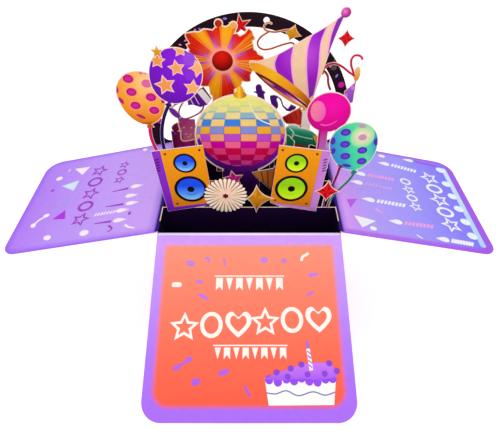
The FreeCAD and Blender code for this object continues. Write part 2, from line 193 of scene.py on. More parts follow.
def tint(base, colour, strength=0.03):
    """Colours a material, a little lighter and darker with its cloudiness."""
    value = add_node(
        base.tree, "ShaderNodeMapRange",
        {"Value": base.cloud, "From Min": 0.3, "From Max": 0.7, "To Min": 1 - strength,
         "To Max": 1 + strength})
    hue = add_node(
        base.tree, "ShaderNodeHueSaturation", {"Value": value.outputs["Result"], "Color": colour})
    base.tree.links.new(hue.outputs["Color"], base.shader.inputs["Base Color"])
    return base.material


def fill_ramp(node, stops, steps=False):
    """Gives a colour ramp its stops, each a place from 0 to 1 and a colour, and returns its colour."""
    ramp = node.color_ramp
    ramp.interpolation = "CONSTANT" if steps else "LINEAR"
    while len(ramp.elements) > 1:
        ramp.elements.remove(ramp.elements[-1])
    ramp.elements[0].position = stops[0][0]
    ramp.elements[0].color = shade(stops[0][1])
    for position, colour in stops[1:]:
        ramp.elements.new(position).color = shade(colour)
    return node.outputs["Color"]


def flat_ink(name, colour, roughness=SATIN):
    """Offset ink of one colour on coated board, which gives the eye an even, soft satin field."""
    return tint(start_material(name, roughness), shade(colour))


def graded_ink(name, stops, start, end, steps=False, roughness=SATIN):
    """Offset ink that changes along a line, as screened print does, or in steps as in tiles."""
    base = start_material(name, roughness)
    way = Vector(end) - Vector(start)
    offset = add_node(
        base.tree, "ShaderNodeVectorMath", {0: base.place, 1: tuple(start)}, operation="SUBTRACT")
    share = add_node(
        base.tree, "ShaderNodeVectorMath",
        {0: offset.outputs["Vector"], 1: tuple(way / way.length_squared)}, operation="DOT_PRODUCT")
    ramp = add_node(base.tree, "ShaderNodeValToRGB", {"Fac": share.outputs["Value"]})
    return tint(base, fill_ramp(ramp, stops, steps))


def round_ink(name, stops, centre, reach):
    """Offset ink that changes with the distance from a point, which makes a flat print look round."""
    base = start_material(name)
    away = add_node(
        base.tree, "ShaderNodeVectorMath", {0: base.place, 1: tuple(centre)}, operation="DISTANCE")
    share = add_node(
        base.tree, "ShaderNodeMath", {0: away.outputs["Value"], 1: 1 / reach}, operation="MULTIPLY")
    ramp = add_node(base.tree, "ShaderNodeValToRGB", {"Fac": share.outputs["Value"]})
    return tint(base, fill_ramp(ramp, stops))


def panel_ink(name, sheet, box, radii, blur, stops, edge):
    """Print with a round-cornered panel that melts into the colour round it, as on a box flap.

    The box holds the panel's left, bottom, right and top, the radii are those of its top and its
    bottom corners, and both lists of stops run from its top down.
    """
    base = start_material(name)
    tree = base.tree
    left, bottom, right, top = [side * MM for side in box]
    turned = sheet.matrix.inverted()
    middle = []
    for row, low, high in ((0, left, right), (1, bottom, top)):
        along = add_node(
            tree, "ShaderNodeVectorMath", {0: base.place, 1: turned[row][:3]}, operation="DOT_PRODUCT")
        shift = turned[row][3] - (low + high) / 2
        middle.append(add_node(
            tree, "ShaderNodeMath", {0: along.outputs["Value"], 1: shift},
            operation="ADD").outputs["Value"])
    radius = add_node(
        tree, "ShaderNodeMapRange",
        {"Value": middle[1], "From Min": -MM, "From Max": MM, "To Min": radii[1] * MM,
         "To Max": radii[0] * MM}).outputs["Result"]
    over = []
    for centred, low, high in zip(middle, (left, bottom), (right, top)):
        away = add_node(tree, "ShaderNodeMath", {0: centred}, operation="ABSOLUTE")
        inner = add_node(tree, "ShaderNodeMath", {0: (high - low) / 2, 1: radius}, operation="SUBTRACT")
        past = add_node(
            tree, "ShaderNodeMath", {0: away.outputs["Value"], 1: inner.outputs["Value"]},
            operation="SUBTRACT")
        over.append(add_node(
            tree, "ShaderNodeMath", {0: past.outputs["Value"], 1: 0.0},
            operation="MAXIMUM").outputs["Value"])
    corner = add_node(tree, "ShaderNodeCombineXYZ", {"X": over[0], "Y": over[1]})
    length = add_node(tree, "ShaderNodeVectorMath", {0: corner.outputs["Vector"]}, operation="LENGTH")
    reach = add_node(
        tree, "ShaderNodeMath", {0: length.outputs["Value"], 1: radius}, operation="SUBTRACT")
    outside = add_node(
        tree, "ShaderNodeMapRange",
        {"Value": reach.outputs["Value"], "From Min": -blur * MM, "From Max": 0.3 * blur * MM},
        interpolation_type="SMOOTHSTEP")
    drop = add_node(
        tree, "ShaderNodeMapRange",
        {"Value": middle[1], "From Min": (top - bottom) / 2, "From Max": (bottom - top) / 2})
    panel = add_node(tree, "ShaderNodeValToRGB", {"Fac": drop.outputs["Result"]})
    border = add_node(tree, "ShaderNodeValToRGB", {"Fac": drop.outputs["Result"]})
    mix = add_node(
        tree, "ShaderNodeMix",
        {0: outside.outputs["Result"], 6: fill_ramp(panel, stops), 7: fill_ramp(border, edge)},
        data_type="RGBA")
    return tint(base, mix.outputs[2])


# Shapes on a printed face, in millimetres: x to the right and y up


def around(x, y, radius, degrees):
    """A point at an angle about a centre, anticlockwise from the right."""
    bearing = math.radians(degrees)
    return x + radius * math.cos(bearing), y + radius * math.sin(bearing)


def turned_by(x, y, u, v, degrees):
    """The point u along and v across from a place, where along is turned by some degrees."""
    lean = math.radians(degrees)
    return x + u * math.cos(lean) - v * math.sin(lean), y + u * math.sin(lean) + v * math.cos(lean)


def oval(x, y, rx, ry=None, turn=0.0, steps=36):
    """The outline of a round or oval spot, turned anticlockwise by some degrees."""
    ry = rx if ry is None else ry
    angles = [2 * math.pi * k / steps for k in range(steps)]
    return [turned_by(x, y, rx * math.cos(angle), ry * math.sin(angle), turn) for angle in angles]


def star(x, y, outer, inner, tips, turn=90.0):
    """The outline of a straight-sided star with its first tip at the angle of turn."""
    radii = (outer, inner)
    return [around(x, y, radii[k % 2], turn + 180.0 * k / tips) for k in range(2 * tips)]


def rounded(left, bottom, right, top, radii, steps=4):
    """A rectangle with round corners; radii run from the lower left one anticlockwise."""
    corners = ((left, bottom, 180), (right, bottom, 270), (right, top, 0), (left, top, 90))
    signs = ((1, 1), (-1, 1), (-1, -1), (1, -1))
    points = []
    for (x, y, first), (sx, sy), radius in zip(corners, signs, radii):
        for k in range(steps + 1):
            points.append(around(x + sx * radius, y + sy * radius, radius, first + 90.0 * k / steps))
    return points


def through(points, steps=8):
    """A smooth open line through some points."""
    ends = [points[0]] + list(points) + [points[-1]]
    line = []
    for a, b, c, d in zip(ends, ends[1:], ends[2:], ends[3:]):
        for k in range(steps):
            t = k / steps
            line.append(tuple(
                0.5 * (2 * q + (r - p) * t + (2 * p - 5 * q + 4 * r - s) * t ** 2
                       + (3 * q - p - 3 * r + s) * t ** 3)
                for p, q, r, s in zip(a, b, c, d)))
    return line + [tuple(points[-1])]


def stroke(line, width, taper=1.0):
    """The outline of a line drawn with some width, which may thin out towards its end."""
    left, right = [], []
    last = len(line) - 1
    for k, (x, y) in enumerate(line):
        before, after = line[max(k - 1, 0)], line[min(k + 1, last)]
        dx, dy = after[0] - before[0], after[1] - before[1]
        length = math.hypot(dx, dy) or 1.0
        half = 0.5 * width * (1 + (taper - 1) * k / last)
        left.append((x - dy / length * half, y + dx / length * half))
        right.append((x + dy / length * half, y - dx / length * half))
    return left + right[::-1]


def wedge(x, y, inner, outer, first, last, steps=6):
    """A slice of a ring between two angles."""
    angles = [first + (last - first) * k / steps for k in range(steps + 1)]
    return [around(x, y, outer, a) for a in angles] + [around(x, y, inner, a) for a in angles[::-1]]


def flame(x, y, length, width, turn):
    """A candle flame with its round end at a point and its tip some way off, at the angle of turn."""
    profile = [(0, 0), (0.1, 0.36), (0.3, 0.5), (0.55, 0.4), (0.8, 0.17), (1, 0)]
    outline = profile + [(u, -v) for u, v in profile[-2:0:-1]]
    return [turned_by(x, y, length * u, width * v, turn) for u, v in outline]


# Making pieces


def figure_face(node):
    """The front of an upright figure; its origin is the top left corner of the figure's card."""
    low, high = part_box(node)
    axes = Matrix(((1, 0, 0, low.x), (0, 0, -1, low.y), (0, 1, 0, high.z), (0, 0, 0, 1)))
    return Sheet(axes, node)


def hinge_of(node):
    """A flap's own joint and the middle of its crease."""
    joint = next(j for j in frame["joints"] if j["child"] == BODY_OF[node])
    return joint, Vector(joint["pos_m"])


def flap_face(node):
    """The top of a flap; its origin is in the middle of the crease and y points up to the crease."""
    joint, hinge = hinge_of(node)
    top = max(NODES[node].data.polygons, key=lambda face: face.area * (face.normal.z > 0.5))
    normal = top.normal.copy()
    height = (NODES[node].data.vertices[top.vertices[0]].co - hinge).dot(normal)
    across = Vector(joint["axis"]) * -1
    up = normal.cross(across)
    if up.dot(Vector((0, BOX_MIDDLE, 0)) - Vector((hinge.x, hinge.y, 0))) < 0:
        across, up = -across, -up
    origin = hinge + height * normal
    axes = Matrix((across, up, normal)).transposed().to_4x4()
    return Sheet(Matrix.Translation(origin) @ axes, node)


def at(sheet, x, y):
    """A point of a printed face, from millimetres to the part's own frame."""
    return sheet.matrix @ Vector((x * MM, y * MM, 0))


def only(piece):
    """Makes a piece the one that operators act on."""
    bpy.ops.object.select_all(action="DESELECT")
    piece.select_set(True)
    bpy.context.view_layer.objects.active = piece


def dress(node, material):
    """Gives a card of the box, a flap or a figure its one material."""
    NODES[node].data.materials.clear()
    NODES[node].data.materials.append(material)


def settle(piece, sheet, ink):
    """Gives a finished piece its ink and its body; a hex code stands for a flat ink."""
    if isinstance(ink, str):
        ink = flat_ink(piece.name + "_ink", ink)
    piece.data.materials.clear()
    piece.data.materials.append(ink)
    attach(piece, BODY_OF[sheet.node])
    return piece


def drawn(name, sheet, outlines, layer=1, thickness=None):
    """A thin printed shape: closed outlines on a face, filled and given the thickness of ink."""
    step = bpy.context.scene.card_paper.ink
    curve = bpy.data.curves.new(name, "CURVE")
    curve.dimensions = "2D"
    curve.fill_mode = "BOTH"
    curve.extrude = (thickness or step) / 2
    for outline in outlines:
        spline = curve.splines.new("POLY")
        spline.points.add(len(outline) - 1)
        for point, (x, y) in zip(spline.points, outline):
            point.co = (x * MM, y * MM, 0, 1)
        spline.use_cyclic_u = True
    piece = bpy.data.objects.new(name, curve)
    bpy.context.scene.collection.objects.link(piece)
    only(piece)
    bpy.ops.object.convert(target="MESH")
    piece.matrix_world = sheet.matrix @ Matrix.Translation((0, 0, (layer - 0.5) * step))
    bpy.ops.object.transform_apply(location=True, rotation=True, scale=True)
    bpy.ops.object.mode_set(mode="EDIT")
    bpy.ops.mesh.select_all(action="SELECT")
    bpy.ops.mesh.remove_doubles(threshold=1e-7)
    bpy.ops.mesh.normals_make_consistent(inside=False)
    bpy.ops.object.mode_set(mode="OBJECT")
    return piece


def printed(name, sheet, outlines, ink, layer=1):
    """A printed shape with its ink, riding with the card under it."""
    return settle(drawn(name, sheet, outlines, layer), sheet, ink)


def card_front(name, sheet, border):
    """A copy of the front face of a figure's card, drawn in by a border."""
    mesh = NODES[sheet.node].data.copy()
    piece = bpy.data.objects.new(name, mesh)
    bpy.context.scene.collection.objects.link(piece)
    only(piece)
    normal = sheet.matrix.to_3x3() @ Vector((0, 0, 1))
    bpy.context.tool_settings.mesh_select_mode = (False, False, True)
    for face in mesh.polygons:
        face.select = face.normal.dot(normal) < 0.99
    bpy.ops.object.mode_set(mode="EDIT")
    bpy.ops.mesh.delete(type="FACE")
    bpy.ops.mesh.select_all(action="SELECT")
    bpy.ops.mesh.remove_doubles(threshold=1e-6)
    bpy.ops.mesh.dissolve_limited(angle_limit=0.001)
    bpy.ops.mesh.select_all(action="SELECT")
    bpy.ops.mesh.inset(
        thickness=border, use_boundary=True, use_even_offset=True, use_relative_offset=False)
    bpy.ops.mesh.select_all(action="INVERT")
    bpy.ops.mesh.delete(type="FACE")
    bpy.ops.object.mode_set(mode="OBJECT")
    return piece


def thicken(piece, thickness, offset):
    """Gives a flat piece a thickness in front of it, or to both sides."""
    only(piece)
    solid = piece.modifiers.new("thickness", "SOLIDIFY")
    solid.thickness = thickness
    solid.offset = offset
    bpy.ops.object.modifier_apply(modifier=solid.name)
    return piece


def face_print(sheet, ink, border=None):
    """The printed front of a die-cut figure, inside its bare border."""
    paper = bpy.context.scene.card_paper
    piece = card_front(sheet.node + "_print", sheet, paper.border if border is None else border)
    return settle(thicken(piece, paper.ink, 1.0), sheet, ink)


def clipped(name, sheet, outlines, ink, layer=2, border=None):
    """A printed shape that ends where the printed face of its figure ends."""
    paper = bpy.context.scene.card_paper
    piece = drawn(name, sheet, outlines, layer)
    cutter = card_front("cutter", sheet, paper.border if border is None else border)
    thicken(cutter, 2 * MM, 0.0)
    only(piece)
    cut = piece.modifiers.new("cut", "BOOLEAN")
    cut.operation = "INTERSECT"
    cut.solver = "EXACT"
    cut.object = cutter
    bpy.ops.object.modifier_apply(modifier=cut.name)
    bpy.data.objects.remove(cutter)
    return settle(piece, sheet, ink)


# Operators: the card itself


class CARD_OT_board(bpy.types.Operator):
    """Gives the folded box, the slats, the arch and each figure its card"""

    bl_idname = "card.board"
    bl_label = "Card Board"

    def execute(self, context):
        colours = context.scene.card_colours
        dress("sleeve", self.box_card(colours))
        slat = self.edged_card("night_card", colours.night, colours.cream, RIM + 1.5 * MM)
        own = {"rear_arch": flat_ink("arch_card", "#1e0618", 0.5), "film_strut": self.clear_film()}
        cream = flat_ink("figure_card", colours.cream, 0.55)
        for node, body in BODY_OF.items():
            if node.startswith("slat"):
                dress(node, slat)
            elif body == "card" and node != "sleeve":
                dress(node, own.get(node, cream))
        return {"FINISHED"}

    def box_card(self, colours):
        """Box board: lavender outside, night inside, cream where it is cut."""
        base = start_material("box_card")
        tree = base.tree
        axes = add_node(tree, "ShaderNodeSeparateXYZ", {"Vector": base.place})
        across = add_node(tree, "ShaderNodeMath", {0: axes.outputs["X"]}, operation="ABSOLUTE")
        along = add_node(tree, "ShaderNodeMath", {0: axes.outputs["Y"], 1: BOX_MIDDLE},
                         operation="SUBTRACT")
        depth = add_node(tree, "ShaderNodeMath", {0: along.outputs["Value"]}, operation="ABSOLUTE")
        masks = []
        for place, edge in ((across, WALL[1].x), (depth, WALL[1].y - BOX_MIDDLE)):
            masks.append(add_node(
                tree, "ShaderNodeMapRange",
                {"Value": place.outputs["Value"], "From Min": edge - 0.6 * BOARD,
                 "From Max": edge - 0.3 * BOARD}, interpolation_type="SMOOTHSTEP").outputs["Result"])
        outside = add_node(tree, "ShaderNodeMath", {0: masks[0], 1: masks[1]}, operation="MAXIMUM")
        height = add_node(
            tree, "ShaderNodeMapRange", {"Value": axes.outputs["Z"], "From Min": 0.0, "From Max": RIM},
            interpolation_type="SMOOTHSTEP")
        violet = add_node(
            tree, "ShaderNodeMix",
            {0: height.outputs["Result"], 6: linear("#a768ef"), 7: shade(colours.lavender)},
            data_type="RGBA")
        sides = add_node(
            tree, "ShaderNodeMix",
            {0: outside.outputs["Value"], 6: shade(colours.night), 7: violet.outputs[2]},
            data_type="RGBA")
        rim = add_node(
            tree, "ShaderNodeMapRange",
            {"Value": axes.outputs["Z"], "From Min": RIM - 0.05 * MM, "From Max": RIM - 0.02 * MM},
            interpolation_type="SMOOTHSTEP")
        mix = add_node(
            tree, "ShaderNodeMix",
            {0: rim.outputs["Result"], 6: sides.outputs[2], 7: shade(colours.cream)}, data_type="RGBA")
        return tint(base, mix.outputs[2])

    def edged_card(self, name, face, edge, top):
        """Dark board with a cream top edge where it is cut."""
        base = start_material(name, 0.5)
        axes = add_node(base.tree, "ShaderNodeSeparateXYZ", {"Vector": base.place})
        rim = add_node(
            base.tree, "ShaderNodeMapRange",
            {"Value": axes.outputs["Z"], "From Min": top - 0.12 * MM, "From Max": top - 0.06 * MM},
            interpolation_type="SMOOTHSTEP")
        mix = add_node(
            base.tree, "ShaderNodeMix", {0: rim.outputs["Result"], 6: shade(face), 7: shade(edge)},
            data_type="RGBA")
        return tint(base, mix.outputs[2])

    def clear_film(self):
        """PET film: glass-clear, thin and glossy."""
        material = bpy.data.materials.new("clear_pet_film")
        material.use_nodes = True
        shader = material.node_tree.nodes["Principled BSDF"]
        shader.inputs["Base Color"].default_value = linear("#f2f5f8")
        shader.inputs["Roughness"].default_value = 0.08
        shader.inputs["IOR"].default_value = 1.57
        shader.inputs["Specular IOR Level"].default_value = 0.05
        shader.inputs["Alpha"].default_value = 0.08
        return material


class CARD_OT_flaps(bpy.types.Operator):
    """Prints the borders of the three flaps and bends paper over their creases"""

    bl_idname = "card.flaps"
    bl_label = "Flap Borders and Creases"

    def execute(self, context):
        front = flap_face("front_flap")
        length = flap_length(front)
        stops = [(0.0, "#d6a2fb"), (0.25, "#c79bfa"), (0.7, "#b686fb"), (1.0, "#b274f6")]
        dress("front_flap", graded_ink("front_flap_card", stops, at(front, 0, 0), at(front, 0, -length)))
        lavender = context.scene.card_colours.lavender
        for node, edge in (("left_flap", "#a466f8"), ("right_flap", "#b45cf8")):
            dress(node, self.side_card(node, lavender, edge))
        # The crease colours are painted light: a pale painted highlight on the front fold and painted shade on the
        # two side folds
        for node, colour in (("front_flap", "#f0e0ff"), ("left_flap", "#34107c"),
                             ("right_flap", "#34107c")):
            self.crease(node, colour)
        return {"FINISHED"}

    def side_card(self, node, face, edge):
        """Side flap board: lavender that deepens to violet towards its three free edges."""
        base = start_material(node + "_card")
        tree = base.tree
        low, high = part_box(node)
        axes = add_node(tree, "ShaderNodeSeparateXYZ", {"Vector": base.place})
        middle, half = (low.y + high.y) / 2, (high.y - low.y) / 2
        reach = max(abs(low.x), abs(high.x))
        across = add_node(tree, "ShaderNodeMath", {0: axes.outputs["X"]}, operation="ABSOLUTE")
        along = add_node(tree, "ShaderNodeMath", {0: axes.outputs["Y"], 1: middle}, operation="SUBTRACT")
        depth = add_node(tree, "ShaderNodeMath", {0: along.outputs["Value"]}, operation="ABSOLUTE")
        masks = []
        fades = ((across, reach - 9 * MM, reach - 1 * MM), (depth, half - 5 * MM, half - 0.5 * MM))
        for place, start, end in fades:
            masks.append(add_node(
                tree, "ShaderNodeMapRange",
                {"Value": place.outputs["Value"], "From Min": start, "From Max": end},
                interpolation_type="SMOOTHSTEP").outputs["Result"])
        edges = add_node(tree, "ShaderNodeMath", {0: masks[0], 1: masks[1]}, operation="MAXIMUM")
        mix = add_node(
            tree, "ShaderNodeMix", {0: edges.outputs["Value"], 6: shade(face), 7: shade(edge)},
            data_type="RGBA")
        return tint(base, mix.outputs[2])

    def crease(self, node, colour):
        """The bent paper between a wall's top edge and its flap, drawn as its curved section; its colour is
        painted light, pale on the front fold and dark on the side folds.
        """
        face = flap_face(node)
        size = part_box(node)[1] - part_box(node)[0]
        width = size.x if node == "front_flap" else size.y
        across = face.matrix.to_3x3() @ Vector((1, 0, 0))
        up = Vector((0, 0, 1))
        inward = up.cross(across)
        hinge = hinge_of(node)[1]
        if inward.dot(Vector((0, BOX_MIDDLE, 0)) - hinge) <= 0:
            inward = -inward
        section = Matrix((inward, up, inward.cross(up))).transposed().to_4x4()
        sheet = Sheet(Matrix.Translation(hinge) @ section, node)
        droop = math.asin(min(1, (face.matrix.to_3x3() @ Vector((0, 1, 0))).z))
        slope = (math.cos(droop), math.sin(droop))
        line = [(-0.9 * slope[0] - 0.46 * slope[1], -0.9 * slope[1] + 0.5 * slope[0])]
        for k in range(9):
            angle = math.radians(90) + droop - (math.radians(100) + droop) * k / 8
            line.append((0.05 + 0.58 * math.cos(angle), -0.05 + 0.58 * math.sin(angle)))
        strip = drawn(node + "_crease", sheet, [stroke(line, 0.09)], 0, width - 1.0 * MM)
        strip.data.materials.append(flat_ink(node + "_crease_painted_light", colour))
        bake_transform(strip)
        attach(strip, "card")


def flap_length(face):
    """How far a flap reaches from its crease, in millimetres."""
    inverse = face.matrix.inverted()
    return max(-(inverse @ v.co).y for v in NODES[face.node].data.vertices) / MM


class CARD_OT_front_flap_print(bpy.types.Operator):
    """Prints the coral panel with its garlands, confetti, cake and candle"""

    bl_idname = "card.front_flap_print"
    bl_label = "Front Flap Print"

    def execute(self, context):
        face = flap_face("front_flap")
        face_print(face, self.panel(face, context.scene.card_colours.coral), 0.25 * MM)
        self.garlands(face)
        self.confetti(face)
        self.cake(face)
        return {"FINISHED"}

    def panel(self, face, coral):
        """Coral melting into a lavender border; both deepen towards the free end."""
        stops = [(0.0, "#ff987e"), (0.35, "#ff846a"), (0.7, coral), (1.0, "#fa5e44")]
        edge = [(0.0, "#d4a0ff"), (0.3, "#c494fd"), (0.7, "#b47af8"), (1.0, "#ac6ef4")]
        return panel_ink("coral_print", face, (-41.0, -79.0, 40.8, -5.2), (2.4, 7.5), 2.3, stops, edge)

    def garlands(self, face):
        """Two strings of white pennants and, between them, a row of large white marks."""
        white = flat_ink("garland_white", "#fff6ee")
        pennants = []
        rows = ((7, -16.0, 16.2, -21.6, 6.9), (8, -15.6, 16.6, -53.2, 5.8))
        for row, (count, left, right, top, tall) in enumerate(rows):
            pitch = (right - left) / count
            pennants.append(stroke([(left, top), (right, top)], 0.55))
            for k in range(count):
                x = left + (k + 0.5) * pitch
                half = 0.34 * pitch
                upper = [(x - half, top - 0.9), (x + half, top - 0.9)]
                foot = top - tall
                if (k + row) % 2:
                    pennants.append(upper + [(x, foot)])
                else:
                    pennants.append(upper + [(x + half, foot), (x, foot + 1.8), (x - half, foot)])
        printed("pennant_rows", face, pennants, white, 2)
        marks = []
        for k in range(6):
            marks += self.big_mark(k % 3, -28.6 + 11.9 * k, -45.0 + 0.75 * k)
        printed("party_marks", face, marks, white, 2)

    def big_mark(self, kind, x, y):
        """One of the large white marks in the middle row: a star, a ring or a heart, drawn as a line."""
        if kind == 0:
            return [star(x, y - 0.3, 6.9, 3.3, 5), star(x, y - 0.3, 4.3, 1.9, 5)[::-1]]
        if kind == 1:
            return [oval(x, y, 5.0, 5.8), oval(x, y, 3.2, 4.0)[::-1]]
        return [self.heart(x, y, 1.45), self.heart(x, y + 0.1, 0.92)[::-1]]

    def heart(self, x, y, size):
        """A heart's outline."""
        half = [(0, -4.4), (-2.2, -2.4), (-3.9, 0.1), (-3.6, 2.6), (-1.9, 3.5), (0, 1.9)]
        line = half + [(-u, v) for u, v in half[-2:0:-1]]
        return through([(x + size * u, y + size * v) for u, v in line + line[:1]], 5)[:-1]

    def confetti(self, face):
        """Violet and white confetti round the garlands."""
        violet = graded_ink(
            "violet_confetti", [(0.0, "#c588e0"), (1.0, "#b05ae8")], at(face, 0, -12), at(face, 0, -74))
        bits = [
            oval(-27.5, -15.3, 2.1, 1.5, -20), oval(7.0, -13.6, 1.7, 1.6), oval(-22.4, -68.2, 1.9, 1.5, 30),
            oval(-10.8, -64.4, 2.4, 1.2, 20), oval(29.6, -20.9, 2.6, 0.9, 12),
            oval(-23.0, -24.4, 1.7, 0.9, -12), oval(-20.9, -31.4, 2.6, 0.9, -28),
            oval(16.4, -14.0, 1.3, 1.1, 40), oval(27.8, -30.1, 2.4, 0.6, 26),
            stroke(through([(-21.0, -12.7), (-19.4, -12.9), (-18.7, -14.8)]), 1.2),
            stroke([(-11.9, -12.6), (-11.3, -16.6)], 0.8),
            stroke(through([(-1.9, -69.9), (-1.0, -71.6), (0.3, -74.0)]), 1.0),
            stroke([(-30.5, -62.3), (-26.1, -59.4)], 1.1),
        ]
        printed("confetti_violet", face, bits, violet, 2)
        ends = [oval(-30.7, -62.4, 1.8, 1.1, 30), oval(-25.9, -59.2, 1.7, 1.1, 30)]
        printed("confetti_violet_ends", face, ends, violet, 3)
        curls = [
            stroke(through([(24.6, -14.1), (25.3, -12.0), (27.2, -10.9), (28.1, -10.0)]), 1.3),
            rounded(-35.6, -26.9, -31.0, -24.6, (0.8, 1.1, 1.1, 1.1)),
        ]
        printed("confetti_white", face, curls, "#fff3ea", 2)

    def cake(self, face):
        """A slice of cake with dripping icing, and one candle."""
        body = [(6.5, -66.6), (36.5, -66.4), (34.9, -77.2), (8.0, -77.4)]
        printed("cake_body", face, [body], "#fffaf6", 2)
        wave = through([(7.0, -72.5), (11.0, -72.9), (15.4, -71.7), (20.4, -73.6), (26.4, -72.1),
                        (31.4, -73.4), (35.6, -72.2)])
        printed("cake_filling", face, [stroke(wave, 0.5)], "#7a78c4", 3)
        drips = [oval(x, y, 1.75, 1.9) for x, y in (
            (8.4, -67.3), (12.0, -68.2), (15.6, -67.0), (18.8, -67.7), (22.0, -66.6), (25.2, -67.8),
            (28.6, -68.2), (32.0, -67.0), (35.0, -66.8))]
        deep = flat_ink("icing_deep", "#9a4cf0")
        for k, drip in enumerate(drips):
            printed("cake_drip_%d" % k, face, [drip], deep, 3)
        top = [(6.3, -67.0), (11.5, -64.6), (16.9, -63.0), (22.3, -61.2), (29.1, -60.4), (34.3, -60.8),
               (37.0, -63.6)]
        foot = [(36.6, -66.6), (29.0, -67.4), (22.0, -67.0), (14.0, -67.6), (6.8, -67.4)]
        icing = graded_ink("icing_violet", [(0.0, "#cc78f6"), (0.6, "#bc6cf2"), (1.0, "#a058f0")],
                           at(face, 0, -60), at(face, 0, -68))
        printed("cake_icing", face, [through(top, 4) + through(foot, 4)], icing, 4)
        blobs = [oval(x, y, 1.25) for x, y in (
            (11.6, -64.4), (17.6, -62.8), (22.2, -61.2), (34.1, -60.7), (37.0, -63.8), (24.6, -65.2),
            (31.9, -64.9), (16.2, -66.1))]
        printed("cake_berries", face, blobs, "#9048d4", 5)
        printed("cake_candle", face, [stroke([(26.3, -63.6), (25.4, -54.6)], 1.6)], "#fdf3f6", 5)
        bands = [stroke([(25.0 + 0.1 * k, -55.6 - 1.9 * k), (26.4 + 0.1 * k, -56.8 - 1.9 * k)], 0.5)
                 for k in range(4)]
        printed("cake_candle_bands", face, bands, "#b060e0", 6)
        printed("cake_flame", face, [flame(25.3, -54.2, 3.4, 1.7, 94)], "#b070e4", 4)


